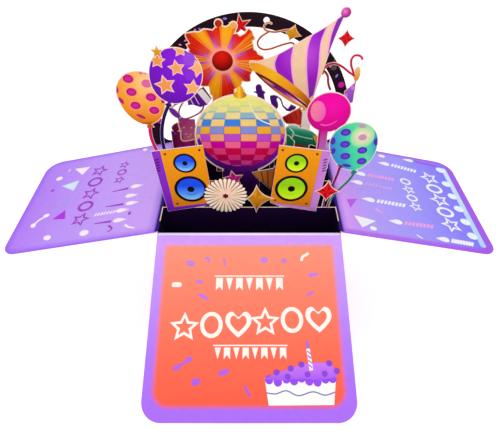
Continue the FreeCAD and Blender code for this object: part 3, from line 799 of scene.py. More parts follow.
class CARD_OT_side_flap_prints(bpy.types.Operator):
    """Prints candles, party marks, triangles and icing on the two side flaps"""

    bl_idname = "card.side_flap_prints"
    bl_label = "Side Flap Prints"

    def execute(self, context):
        self.left(flap_face("left_flap"))
        self.right(flap_face("right_flap"))
        return {"FINISHED"}

    def left(self, face):
        """Lavender flap: rows of plum marks, candles, triangles, dots and twirls."""
        # The first stops of this print and of its border are painted shade along the crease, fading into the
        # lighter lavender print
        stops = [(0.0, "#34107c"), (0.069, "#34107c"), (0.09, "#b088f4"), (0.13, "#d0a6ff"),
                 (0.4, "#c8a0fe"), (0.7, "#c094fc"), (1.0, "#b47cf8")]
        half = (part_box("left_flap")[1].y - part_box("left_flap")[0].y) / 2 / MM
        ink = panel_ink("left_lavender_and_crease_shade", face, (-half, -84.0, half, 6.0), (8.0, 8.0), 5.0, stops,
                        [(0.0, "#34107c"), (0.069, "#34107c"), (0.09, "#a46cf4"), (1.0, "#9a5ef6")])
        face_print(face, ink, 0.3 * MM)
        white = flat_ink("left_white", "#fdf0fb")
        white_bits = [
            [(-28.7, -63.2), (-28.2, -53.1), (-20.8, -56.3)],
            oval(-21.0, -71.2, 1.9, 2.1), oval(31.8, -60.7, 2.4, 1.7, 60), oval(32.5, -40.0, 2.6, 2.1, 70),
            oval(-36.6, -19.2, 1.4, 1.4),
            stroke(through([(20.4, -73.2), (16.4, -71.2), (13.0, -67.0)]), 1.3),
            stroke(through([(31.0, -18.2), (33.4, -15.6), (34.6, -12.4)]), 1.5, 0.5),
            stroke([(-29.4, -66.4), (-27.0, -67.2)], 0.7),
        ]
        flames = [(-0.5, -21.4), (7.4, -23.0), (14.0, -21.4), (18.9, -25.8), (26.6, -25.6)]
        white_bits += [flame(x, y, 7.6, 3.4, 88) for x, y in flames]
        printed("left_white_bits", face, white_bits, white, 2)
        printed("left_white_ends", face, [oval(20.0, -73.0, 1.9, 1.5, 30), oval(13.2, -67.6, 1.5, 1.8)],
                white, 3)
        printed("left_ice_triangle", face, [[(-12.6, -67.0), (-15.6, -56.5), (-6.1, -57.4)]], "#d4ecfa", 2)
        printed("left_blue_triangle", face, [[(2.6, -65.4), (-0.6, -59.1), (6.2, -58.3)]], "#b39af6", 2)
        printed("left_magenta_triangle", face, [[(17.3, -62.7), (11.0, -57.1), (18.6, -55.0)]], "#b32ae0",
                2)
        bodies = [((0.5, -22.6), (1.3, -31.7)), ((14.0, -22.6), (13.9, -32.8)),
                  ((26.7, -26.6), (26.5, -36.0))]
        dark = [stroke([a, b], 1.7, 0.35) for a, b in bodies]
        dark += [oval(-9.7, -71.8, 1.1), oval(22.5, -17.4, 1.3, 0.8),
                 stroke(through([(29.6, -27.4), (32.6, -24.9), (34.6, -26.9)]), 1.3, 0.4)]
        dark += self.outlined_row(-27.4, 26.6, -45.4, 5, 10.4)
        dark += self.outlined_row(-27.4, -5.4, -30.0, 3, 6.6)
        printed("left_plum_bits", face, dark, "#a43ec4", 2)
        twist = [stroke([(18.2, y), (20.4, y - 0.9)], 0.85) for y in [-26.2 - 1.75 * k for k in range(7)]]
        printed("left_white_twist", face, twist, white, 2)

    def right(self, face):
        """Blue-violet panel with spiral candles and a scalloped icing edge."""
        # The first stops of this print and of its border are painted shade along the crease, fading into the
        # lighter periwinkle print
        stops = [(0.0, "#34107c"), (0.071, "#34107c"), (0.093, "#c08cfa"), (0.12, "#dca2ff"),
                 (0.18, "#cc9cff"), (0.28, "#b8a2ff"), (0.62, "#a298ff"), (1.0, "#8078ff")]
        ink = panel_ink("periwinkle_print_and_crease_shade", face, (-37.6, -80.6, 38.4, 6.0), (6.0, 6.0), 2.0, stops,
                        [(0.0, "#34107c"), (0.071, "#34107c"), (0.093, "#b878f4"), (1.0, "#a65cec")])
        face_print(face, ink, 0.3 * MM)
        ice = graded_ink("icing_ice", [(0.0, "#d4ecff"), (1.0, "#bcd8fc")], at(face, 32, -76),
                         at(face, -34, -78))
        scallops = [(30.6, -75.8), (16.5, -75.0), (4.9, -74.8), (-6.1, -74.8), (-16.9, -74.8),
                    (-27.9, -74.6)]
        printed("right_icing", face, [rounded(-35.6, -79.4, 33.2, -76.2, (1.4, 1.4, 1.2, 1.2))], ice, 2)
        printed("right_icing_drops", face, [oval(x, y + 0.5, 2.6, 2.9) for x, y in scallops], "#eef8ff", 3)
        white = flat_ink("right_white", "#f6f8ff")
        pink = flat_ink("right_pink", "#f0a6ee")
        candles = [
            (27.0, -40.4, -57.5, 24.4, white, False), (12.1, -22.2, -40.0, 11.6, pink, False),
            (3.2, -18.8, -36.5, 2.4, pink, True), (-10.9, -23.0, -41.0, -11.1, white, False),
            (-25.9, -35.0, -53.0, -25.3, pink, False), (-34.0, -58.8, -72.4, -34.4, white, False),
        ]
        flames, whites, pinks = [], [], []
        for x, top, bottom, foot, ink, thin in candles:
            flames.append(flame(x, top - 0.3, 7.8, 3.8, 90))
            count = 8
            twist = whites if ink is white else pinks
            for k in range(count):
                share = (k + 0.5) / count
                cx = x + (foot - x) * share
                y = top - 1.2 + (bottom - top + 1.2) * share
                half = 1.0 if thin else 1.5
                twist.append(stroke([(cx - half, y + 0.9), (cx + half, y - 0.9)], 0.8 if thin else 1.3))
        flames.append(flame(35.6, -58.6, 7.4, 3.2, 90))
        printed("right_violet_candle", face, [stroke([(35.7, -59.4), (34.4, -74.0)], 2.6)], "#a85cf4", 2)
        printed("right_flames", face, flames, white, 2)
        printed("right_white_candles", face, whites, white, 2)
        printed("right_pink_candles", face, pinks, pink, 2)
        bits = [
            [(-25.9, -8.6), (-27.8, -20.2), (-34.5, -11.6)], oval(35.0, -37.4, 1.4, 2.2),
            oval(-33.9, -17.5, 1.5, 1.8),
            stroke(through([(-33.6, -41.0), (-34.6, -42.0), (-35.9, -43.6)]), 0.8),
        ]
        bits += self.outlined_row(-26.5, 25.0, -64.5, 5, 11.6)
        bits += self.outlined_row(-14.3, 15.6, -47.0, 4, 7.6)
        printed("right_white_bits", face, bits, white, 2)
        printed("right_pink_curl", face,
                [stroke(through([(-17.2, -22.2), (-19.0, -23.2), (-20.6, -25.6)]), 1.3)], pink, 2)
        printed("right_magenta_triangle", face, [[(-13.8, -6.8), (-11.9, -12.9), (-20.6, -7.7)]],
                "#c45cf0", 2)

    def outlined_row(self, start, end, y, count, tall):
        """A row of stars and rings across the flap, drawn as lines."""
        shapes = []
        pitch = (end - start) / count
        for k in range(count):
            x = start + (k + 0.5) * pitch
            if k % 2:
                shapes.append(oval(x, y, 0.4 * pitch, 0.44 * tall))
                shapes.append(oval(x, y, 0.25 * pitch, 0.29 * tall)[::-1])
            else:
                shapes.append(star(x, y, 0.54 * tall, 0.25 * tall, 5))
                shapes.append(star(x, y, 0.33 * tall, 0.14 * tall, 5)[::-1])
        return shapes


# Operators: figures


class CARD_OT_speakers(bpy.types.Operator):
    """Prints the two loudspeakers: cabinet faces, cones, screws and vents"""

    bl_idname = "card.speakers"
    bl_label = "Speakers"

    def execute(self, context):
        blue = ("#1c4cec", "#4488f6", "#90c8f8")
        lime = ("#94d410", "#b8ee14", "#e0fc2c")
        front = [(4.2, -3.0), (24.3, -0.2), (27.1, -34.3), (7.1, -37.3)]
        side = [(0.3, -3.5), (3.9, -3.1), (6.7, -37.4), (3.6, -40.0)]
        under = [(7.1, -37.7), (26.6, -34.8), (23.2, -36.3), (4.1, -40.0)]
        self.speaker("speaker_left", front, side, under, ("#7a1fb8", "#8a2cc6"), blue, (15.1, -10.0),
                     (16.6, -25.6), 2.2)
        mirrored = [[(27.3 - x, y) for x, y in outline] for outline in (front, side, under)]
        self.speaker("speaker_right", *mirrored, ("#d48ae0", "#c07ad2"), lime, (11.7, -10.0),
                     (10.2, -25.3), 25.0)
        return {"FINISHED"}

    def speaker(self, node, front, side, under, wall, cone, tweeter, woofer, vent):
        """One cabinet: its three sides, two cones in black rings, four screws and five vents."""
        face = figure_face(node)
        orange = graded_ink(node + "_orange", [(0.0, "#ee9c08"), (0.6, "#e68a0a"), (1.0, "#dc7c14")],
                            at(face, 12, 0), at(face, 16, -38))
        flank = graded_ink(node + "_flank", [(0.0, wall[1]), (1.0, wall[0])], at(face, 0, -4),
                           at(face, 0, -38))
        face_print(face, wall[1], 0.14 * MM)
        printed(node + "_front", face, [front], orange, 2)
        printed(node + "_side", face, [side, under], flank, 2)
        black = flat_ink(node + "_black", "#0a0510", 0.35)
        rings, dots = [], []
        for (x, y), outer, inner, cap in ((tweeter, 5.5, 4.5, 1.25), (woofer, 8.1, 6.7, 1.75)):
            rings += [oval(x, y, outer, steps=48), oval(x, y, inner, steps=48)[::-1]]
            dots.append(oval(x, y, cap))
            stops = [(0.0, cone[0]), (0.35, cone[0]), (0.62, cone[1]), (1.0, cone[2])]
            name = "%s_cone_%d" % (node, round(10 * inner))
            ink = graded_ink(name, stops, at(face, x, y + inner), at(face, x, y - inner))
            printed(name, face, [oval(x, y, inner + 0.1, steps=48)], ink, 3)
            glow = wedge(x, y, 0.42 * inner, 0.6 * inner, 200, 340, 14)
            printed("%s_glow_%d" % (node, round(10 * inner)), face, [glow], cone[1], 4)
        printed(node + "_rings", face, rings, black, 4)
        shares = ((0.1, 0.06), (0.9, 0.06), (0.9, 0.94), (0.1, 0.94))
        corners = [self.inside(front, u, v) for u, v in shares]
        screws = [oval(x, y, 0.55, steps=12) for x, y in corners]
        vents = [stroke([(vent - 0.9, -8.2 - 1.6 * k), (vent + 0.9, -7.6 - 1.6 * k)], 0.45)
                 for k in range(5)]
        printed(node + "_details", face, dots + screws + vents, black, 5)

    def inside(self, corners, u, v):
        """A point of a four-sided face, by its share across and down."""
        top = [a + (b - a) * u for a, b in zip(corners[0], corners[1])]
        foot = [a + (b - a) * u for a, b in zip(corners[3], corners[2])]
        return tuple(a + (b - a) * v for a, b in zip(top, foot))


class CARD_OT_rosette(bpy.types.Operator):
    """Prints the pleated paper rosette: raised ridges, dark grooves, fold lines and a red seal"""

    bl_idname = "card.rosette"
    bl_label = "Rosette"

    def execute(self, context):
        face = figure_face("rosette")
        low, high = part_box("rosette")
        pleats = 28
        radius = (high.x - low.x) / 2 / MM
        x, y = radius, -radius
        stops = [(0.0, "#fad4bc"), (0.35, "#fbd8bc"), (0.6, "#ffe6cc"), (1.0, "#fff2e2")]
        cream = round_ink("rosette_cream", stops, at(face, x, y), radius * MM)
        face_print(face, cream, 0.08 * MM)
        grooves, folds, ridges = [], [], []
        for k in range(pleats):
            angle = 90.0 + 360.0 * (k + 0.5) / pleats
            groove = [around(x, y, radius - 0.9, angle), around(x, y, 3.6 + 1.1 * (k % 3), angle)]
            grooves.append(stroke(groove, 0.62, 0.25))
            fold = [around(x, y, radius - 1.2, angle + 6.4), around(x, y, 6.4, angle + 6.4)]
            folds.append(stroke(fold, 0.3, 0.4))
            middle = 90.0 + 360.0 * k / pleats
            ridges.append(wedge(x, y, 5.2, radius - 0.5, middle - 2.6, middle + 2.6, 2))
        brown = round_ink("rosette_groove", [(0.0, "#b87c60"), (1.0, "#6a3a28")], at(face, x, y),
                          radius * MM)
        printed("rosette_grooves", face, grooves, brown, 2)
        printed("rosette_folds", face, folds, "#e0b088", 2)
        settle(drawn("rosette_ridges", face, ridges, 3, 4 * context.scene.card_paper.ink), face, cream)
        printed("rosette_seal", face, [star(x, y, 1.7, 1.15, 6)], "#6c0a12", 4)
        return {"FINISHED"}


class CARD_OT_stars(bpy.types.Operator):
    """Prints the small stars, each with lighter and darker facets"""

    bl_idname = "card.stars"
    bl_label = "Stars"

    def execute(self, context):
        gold = ("#fcb824", "#b06c10", "#dc900c")
        bronze = ("#e8981c", "#8c3c08", "#c87c14")
        red = ("#ee1020", "#ee1020", "#bc0418")
        magenta = ("#ff38b4", "#ff38b4", "#c81890")
        for node, inks, tips, turn, centre in (
            ("star_gold_front", bronze, 4, 90, (5.4, -9.0)), ("star_gold_rear", gold, 4, 72, (4.95, -4.57)),
            ("star_gold_small", gold, 5, 90, (3.2, -3.4)), ("star_red_front", red, 4, 90, (6.4, -7.2)),
            ("star_red_high", red, 4, 90, (5.0, -5.2)), ("star_red_rear", red, 5, 98, (6.1, -6.1)),
            ("star_magenta", magenta, 5, 100, (5.9, -5.9)),
        ):
            self.star(node, inks, tips, turn, centre)
        return {"FINISHED"}

    def star(self, node, inks, tips, turn, centre):
        """One star: its face from its top colour to its foot's, and a dark facet beside each tip."""
        face = figure_face(node)
        x, y = centre
        border = 0.3 * MM
        stops = [(0.0, inks[0]), (1.0, inks[1])]
        face_print(face, graded_ink(node + "_face", stops, at(face, x, y + 3), at(face, x, 1.9 * y)),
                   border)
        facets = []
        for k in range(tips):
            angle = turn + 360.0 * k / tips
            facets.append([
                around(x, y, 0.2, angle - 90.0 / tips), around(x, y, 14.0, angle - 0.3),
                around(x, y, 14.0, angle - 180.0 / tips + 0.3)])
        clipped(node + "_facets", face, facets, inks[2], 2, border)


class CARD_OT_mirror_ball(bpy.types.Operator):
    """Prints the mirror ball's tiles in rows round a globe, and its gold cap"""

    bl_idname = "card.mirror_ball"
    bl_label = "Mirror Ball"

    def execute(self, context):
        face = figure_face("disco_ball")
        low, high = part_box("disco_ball")
        radius = (high.x - low.x) / 2 / MM
        x, y = radius, -25.8
        foot, top = at(face, x, y - radius), at(face, x, y + radius)
        seams = [(0.0, "#1c0638"), (0.06, "#30085a"), (0.16, "#68107c"), (0.3, "#980c50"), (0.4, "#b02068"),
                 (0.52, "#9a5898"), (0.64, "#9890b4"), (0.76, "#c8c098"), (0.86, "#e4dc84"),
                 (1.0, "#f2ee7c")]
        face_print(face, graded_ink("ball_seams", seams, foot, top), 0.85 * MM)
        first, pitch, turn = 3.4, 11.3, 22.3
        rows = range(-7, 7)
        cool = ["#2c0858", "#5a0c88", "#a80878", "#b8004c", "#d80048", "#d400a4", "#c84cdc", "#8898e4",
                "#3c86e8", "#90bcd0", "#d4dc94", "#e6e680", "#ecee78", "#f0f07c"]
        warm = ["#400a6c", "#8c2c98", "#d04090", "#e03080", "#ee3c80", "#ff6c98", "#ffb078", "#fcb830",
                "#f8d880", "#f2e094", "#eae48c", "#ecea84", "#f0ee7c", "#f2f080"]
        edges = [(1 + math.sin(math.radians(max(-90, min(90, first + pitch * k))))) / 2 for k in rows]
        inks = []
        for name, colours in (("cool", cool), ("warm", warm)):
            stops = list(zip([0.0] + edges[1:], colours))
            inks.append(graded_ink("ball_tiles_" + name, stops, foot, top, steps=True, roughness=0.32))
        tiles = ([], [])
        for row in rows:
            for column in range(-5, 5):
                shape = self.tile(x, y, radius - 1.0, first + pitch * row, pitch, turn * column, turn)
                if shape:
                    tiles[(row + column) % 2].append(shape)
        for name, shapes, ink in zip(("cool", "warm"), tiles, inks):
            printed("ball_tiles_" + name, face, shapes, ink, 2)
        self.underside(face, x, y, radius - 1.0)
        post = [(0.0, -47.4), (46.0, -47.4), (46.0, -95.0), (0.0, -95.0)]
        violet = graded_ink("ball_post", [(0.0, "#48086c"), (0.4, "#2c0648"), (1.0, "#18042c")],
                            at(face, x, -46), at(face, x, -70))
        clipped("ball_post", face, [post], violet, 2, 0.12 * MM)
        dome = oval(x, y + 22.8, 3.0, 1.9)
        loop = [(x - 1.7, y + 23.6), (x + 1.7, y + 23.6), (x + 1.3, y + 27.0), (x - 1.3, y + 27.0)]
        gold = graded_ink(
            "ball_cap_gold", [(0.0, "#c88408"), (0.45, "#ffc828"), (0.6, "#e8a010"), (1.0, "#b06c04")],
            at(face, x - 2.8, y), at(face, x + 2.8, y))
        printed("ball_cap", face, [dome], gold, 4)
        printed("ball_cap_loop", face, [loop], gold, 3)
        return {"FINISHED"}

    def underside(self, face, x, y, radius):
        """The violet shade round the ball's underside and one pale glint on its shoulder."""
        upper = [(x + 0.955 * radius * math.cos(a), y + 2.4 + 0.96 * radius * math.sin(a))
                 for a in self.arc(352, 188)]
        lower = [(x + radius * math.cos(a), y + radius * math.sin(a)) for a in self.arc(186, 354)]
        violet = graded_ink(
            "ball_shade", [(0.0, "#5a18a0"), (0.35, "#4a0c74"), (0.65, "#5a1078"), (1.0, "#8a10c8")],
            at(face, x - radius, y), at(face, x + radius, y))
        printed("ball_shade", face, [lower + upper], violet, 3)
        glint = through([(x + 4.3, y + 19.5), (x + 5.7, y + 15.0), (x + 8.6, y + 10.4), (x + 12.1, y + 8.0),
                         (x + 15.4, y + 6.8)])
        printed("ball_glint", face, [stroke(glint, 0.45, 1.4)], "#fdf2d0", 3)

    def arc(self, first, last):
        """Angles in radians from one to another, given in degrees."""
        return [math.radians(first + (last - first) * k / 30) for k in range(31)]

    def tile(self, x, y, radius, latitude, height, longitude, width):
        """One tile of the ball as the front view shows it, or nothing past the ball's edge."""
        gap = 0.42
        low, high = max(-86, latitude + gap), min(86, latitude + height - gap)
        left, right = max(-88, longitude + gap), min(88, longitude + width - gap)
        if high - low < 2 or right - left < 2:
            return None
        corners = [(left + (right - left) * k / 4, low) for k in range(5)]
        corners += [(right - (right - left) * k / 4, high) for k in range(5)]
        points = []
        for east, north in corners:
            lon, lat = math.radians(east), math.radians(north)
            points.append((x + radius * math.cos(lat) * math.sin(lon), y + radius * math.sin(lat)))
        return points


class CARD_OT_balloons(bpy.types.Operator):
    """Prints the balloons with their spots, stars, strings and highlights"""

    bl_idname = "card.balloons"
    bl_label = "Balloons"

    def execute(self, context):
        self.orange()
        self.purple()
        self.teal()
        self.magenta()
        return {"FINISHED"}

    def orange(self):
        """Orange with magenta spots, lit from the upper right."""
        face = figure_face("balloon_orange")
        border = 0.35 * MM
        stops = [(0.0, "#fdd2a0"), (0.2, "#fbbd68"), (0.45, "#f8a63a"), (0.75, "#ee8a12"), (1.0, "#c86c10")]
        face_print(face, round_ink("balloon_orange_ink", stops, at(face, 15.5, -5.5), 25 * MM), border)
        spots = [(7.0, -3.7), (7.4, -10.3), (8.2, -17.3), (16.8, -19.9), (16.2, -13.0)]
        halo = [oval(x, y, 3.0, 2.55) for x, y in spots]
        clipped("balloon_orange_halos", face, halo, "#fba470", 2, border)
        marks = [oval(x, y, 2.45, 2.05) for x, y in spots] + [
            oval(0.6, -8.9, 0.9, 2.0), oval(1.8, -14.7, 0.8, 1.9, 30), oval(9.9, -23.2, 2.4, 0.8, -28),
            oval(21.9, -14.6, 0.9, 1.7, -25), oval(5.6, -1.4, 1.8, 0.7, 30)]
        clipped("balloon_orange_spots", face, marks, "#bc0a78", 3, border)
        shine = [oval(x, y, 1.5, 1.1) for x, y in spots]
        clipped("balloon_orange_shine", face, shine, "#d21c9c", 4, border)
        pale = [oval(15.2, -6.1, 2.4, 2.0), wedge(14.3, -1.9, 0.9, 2.2, 20, 160)]
        clipped("balloon_orange_pale_spots", face, pale, "#e0649c", 3, border)
        stem = through([(13.5, -28.0), (14.0, -40.9), (19.6, -56.9), (21.9, -70.9)])
        clipped("balloon_orange_stem", face, [stroke(stem, 2.8)], "#d80c60", 2, 0.12 * MM)
        knot = [(9.6, -26.6), (14.8, -26.2), (15.2, -30.2), (9.8, -30.0)]
        clipped("balloon_orange_knot", face, [knot], "#c45a18", 3, border)

    def purple(self):
        """Purple with peach stars, lit from the right."""
        face = figure_face("balloon_purple")
        border = 0.4 * MM
        stops = [(0.0, "#a03ce8"), (0.2, "#8818dc"), (0.5, "#780cc8"), (0.8, "#6a08b0"), (1.0, "#580890")]
        face_print(face, round_ink("balloon_purple_ink", stops, at(face, 18.6, -6.4), 26 * MM), border)
        stars = [(13.2, -9.6, 3.9, 96), (7.2, -17.8, 4.9, 100), (5.0, -6.2, 3.6, 84),
                 (19.8, -19.3, 4.3, 80), (23.0, -9.6, 4.4, 110), (15.6, -1.2, 3.4, 90)]
        edge = [star(x, y, 1.08 * r, 0.54 * r, 5, turn) for x, y, r, turn in stars]
        clipped("balloon_purple_edges", face, edge, "#fcc4b4", 2, border)
        fill = [star(x, y, 0.84 * r, 0.38 * r, 5, turn) for x, y, r, turn in stars]
        peach = graded_ink("star_peach", [(0.0, "#e88c34"), (1.0, "#f8b06c")], at(face, 0, 0),
                           at(face, 24, 0))
        clipped("balloon_purple_stars", face, fill, peach, 3, border)
        printed("balloon_purple_shine", face, [oval(19.3, -5.3, 2.5, 3.1, -10)], "#9844dc", 4)
        printed("balloon_purple_glow", face, [oval(18.9, -12.7, 2.5, 2.8)], "#8828d8", 4)
        stem = through([(7.6, -27.6), (3.9, -36.6), (2.4, -52.1), (8.0, -82.0)])
        clipped("balloon_purple_stem", face, [stroke(stem, 3.0)], "#1c0a58", 3, 0.12 * MM)

    def teal(self):
        """Teal to green with violet spots, lit from the upper right."""
        face = figure_face("balloon_teal")
        border = 0.35 * MM
        stops = [(0.0, "#3880c4"), (0.25, "#34a4c4"), (0.45, "#40d49c"), (0.7, "#5cdca0"),
                 (0.86, "#3cb8b4"), (1.0, "#3490b8")]
        face_print(face, graded_ink("balloon_teal_ink", stops, at(face, 0.4, -17), at(face, 22.4, -9)),
                   border)
        spots = [(6.7, -5.2), (7.3, -11.5), (8.3, -18.1), (15.7, -14.8), (16.4, -20.9)]
        marks = [oval(x, y, 2.3, 1.85) for x, y in spots] + [
            oval(1.5, -9.8, 1.2, 1.9), oval(2.3, -15.2, 1.1, 1.7), oval(9.7, -23.4, 2.2, 0.9, -15),
            oval(21.4, -10.2, 1.3, 2.0, 10)]
        clipped("balloon_teal_spots", face, marks, "#4a2cb4", 3, border)
        shine = [oval(x, y, 1.4, 1.0) for x, y in spots]
        clipped("balloon_teal_shine", face, shine, "#6a3cc8", 4, border)
        glow = [(0.0, "#f4dcc0"), (0.4, "#e4dcb0"), (0.75, "#a0e2a4"), (1.0, "#5cdca0")]
        ink = round_ink("teal_glow", glow, at(face, 14.6, -7.4), 6.3 * MM)
        clipped("balloon_teal_glow", face, [oval(14.6, -7.4, 5.4, 6.2)], ink, 2, border)
        printed("balloon_teal_pale_spots", face,
                [oval(14.7, -7.8, 1.9, 1.6), oval(13.5, -2.1, 1.8, 0.9, -8)], "#c890bc", 3)
        strings = [
            through([(14.0, -26.6), (11.4, -33.0), (7.2, -39.2), (5.0, -56.0)]),
            through([(6.7, -23.2), (5.4, -30.0), (3.4, -37.0), (2.2, -56.0)])]
        for line, colour in zip(strings, ("#2c7480", "#7c1464")):
            clipped("balloon_teal_string_" + colour[1:], face, [stroke(line, 2.6)], colour, 5, 0.1 * MM)

    def magenta(self):
        """A plain magenta ball with a pink highlight."""
        face = figure_face("balloon_magenta")
        stops = [(0.0, "#ff10b8"), (0.45, "#fa00a8"), (0.8, "#e800a0"), (1.0, "#c40088")]
        face_print(face, round_ink("balloon_magenta_ink", stops, at(face, 12.6, -9.0), 13.5 * MM),
                   0.45 * MM)
        post = [(8.0, -20.6), (13.6, -20.6), (13.6, -63.0), (8.0, -63.0)]
        lilac = graded_ink("foot_lilac", [(0.0, "#e010a0"), (0.2, "#cc68c8"), (1.0, "#d8aee4")],
                           at(face, 10, -21), at(face, 10, -50))
        clipped("balloon_magenta_foot", face, [post], lilac, 2, 0.2 * MM)
        glow = graded_ink("magenta_glow", [(0.0, "#ff8ca0"), (1.0, "#ff6cc4")], at(face, 2, 0),
                          at(face, 9, 0))
        printed("balloon_magenta_glow", face, [oval(5.6, -10.2, 3.6, 5.6, 8)], glow, 2)
        crescent = stroke(through([(7.6, -17.4), (10.4, -17.9), (13.2, -16.9), (15.2, -15.4)]), 0.7, 0.4)
        printed("balloon_magenta_crescent", face, [crescent], "#ff78d0", 2)


class CARD_OT_party_hat(bpy.types.Operator):
    """Prints the striped cone hat, its gold brim and its pompon"""

    bl_idname = "card.party_hat"
    bl_label = "Party Hat"

    def execute(self, context):
        face = figure_face("party_hat")
        border = 0.3 * MM
        face_print(face, "#f6d2aa", border)
        stripes = [
            (through([(19.8, -18.4), (15.2, -21.8), (13.4, -25.2), (13.1, -28.4), (14.9, -33.4)], 6)
             + through([(23.4, -39.4), (21.9, -34.2), (21.2, -30.0), (20.7, -24.6), (21.4, -18.0)], 6)),
            (through([(32.6, -9.6), (29.8, -14.4), (28.7, -20.2), (28.9, -27.0), (29.7, -34.0),
                      (31.6, -46.0)], 6)
             + through([(33.6, -44.0), (34.5, -36.0), (34.7, -28.0), (34.4, -20.6), (34.8, -14.4),
                        (37.4, -7.0)], 6)),
            (through([(42.4, -2.6), (40.2, -9.4), (39.2, -15.0), (38.8, -23.6)], 6)
             + through([(39.8, -24.0), (42.0, -12.4), (45.6, -2.6)], 6)),
        ]
        post = [(8.0, -53.4), (48.0, -53.4), (48.0, -130.0), (8.0, -130.0)]
        clipped("hat_post", face, [post], "#fffaf4", 2, 0.15 * MM)
        edges = [self.swollen(outline) for outline in stripes]
        clipped("hat_stripe_edges", face, edges, "#ffb4dc", 2, border)
        violet = round_ink(
            "hat_violet", [(0.0, "#c454dc"), (0.35, "#b038d4"), (0.7, "#9c18cc"), (1.0, "#8a2cb4")],
            at(face, 27, -23), 18 * MM)
        clipped("hat_stripes", face, stripes, violet, 3, border)
        rim = through([(0.3, -26.6), (5.7, -27.4), (14.7, -32.0), (23.6, -38.8), (30.7, -45.2),
                       (34.0, -50.4)], 8)
        inner = through([(33.0, -52.4), (28.7, -47.8), (20.9, -42.0), (11.2, -35.6), (4.4, -31.6),
                         (0.3, -30.0)], 8)
        gold = graded_ink(
            "hat_gold", [(0.0, "#f9a01c"), (0.3, "#ffc21e"), (0.65, "#f59a18"), (1.0, "#a03808")],
            at(face, 1, -28), at(face, 33, -51))
        hollow = through([(3.4, -31.4), (11.2, -35.5), (20.9, -41.9), (28.7, -47.7), (33.0, -52.2)], 8)
        lower = through([(30.0, -52.0), (22.5, -47.6), (14.2, -41.8), (7.0, -36.2), (3.0, -32.2)], 8)
        stops = [(0.0, "#7c1004"), (0.08, "#8a3a34"), (0.14, "#cc9482"), (0.26, "#c090a0"),
                 (0.36, "#5c10a8"), (0.55, "#8420c4"), (0.68, "#d878dc"), (0.84, "#ffecf4"),
                 (1.0, "#f8dce8")]
        dark = graded_ink("hat_lining", stops, at(face, 4, -32), at(face, 31, -51))
        clipped("hat_lining", face, [hollow + lower], dark, 3, border)
        lip = graded_ink(
            "hat_lip_orange", [(0.0, "#7c1408"), (0.3, "#a83408"), (0.5, "#ec8c14"), (1.0, "#f8a41c")],
            at(face, 4, -32), at(face, 31, -51))
        clipped("hat_lip", face, [stroke(lower, 1.7)], lip, 4, border)
        shadow = through([(3.4, -31.9), (11.2, -36.3), (20.7, -42.9), (28.2, -48.6), (32.6, -52.4)], 8)
        clipped("hat_shadow", face, [stroke(shadow, 1.1)], "#7c1408", 5, border)
        clipped("hat_brim", face, [rim + inner], gold, 6, border)
        pompon = round_ink("hat_pompon", [(0.0, "#e888d0"), (0.5, "#cc3cac"), (1.0, "#8c187c")],
                           at(face, 44.3, -2.0), 3.2 * MM)
        printed("hat_pompon", face, [oval(44.9, -2.6, 2.2)], pompon, 5)
        return {"FINISHED"}

    def swollen(self, outline):
        """An outline a little larger than the one it is drawn round."""
        x = sum(p[0] for p in outline) / len(outline)
        return [(px + (0.9 if px > x else -0.9), py) for px, py in outline]


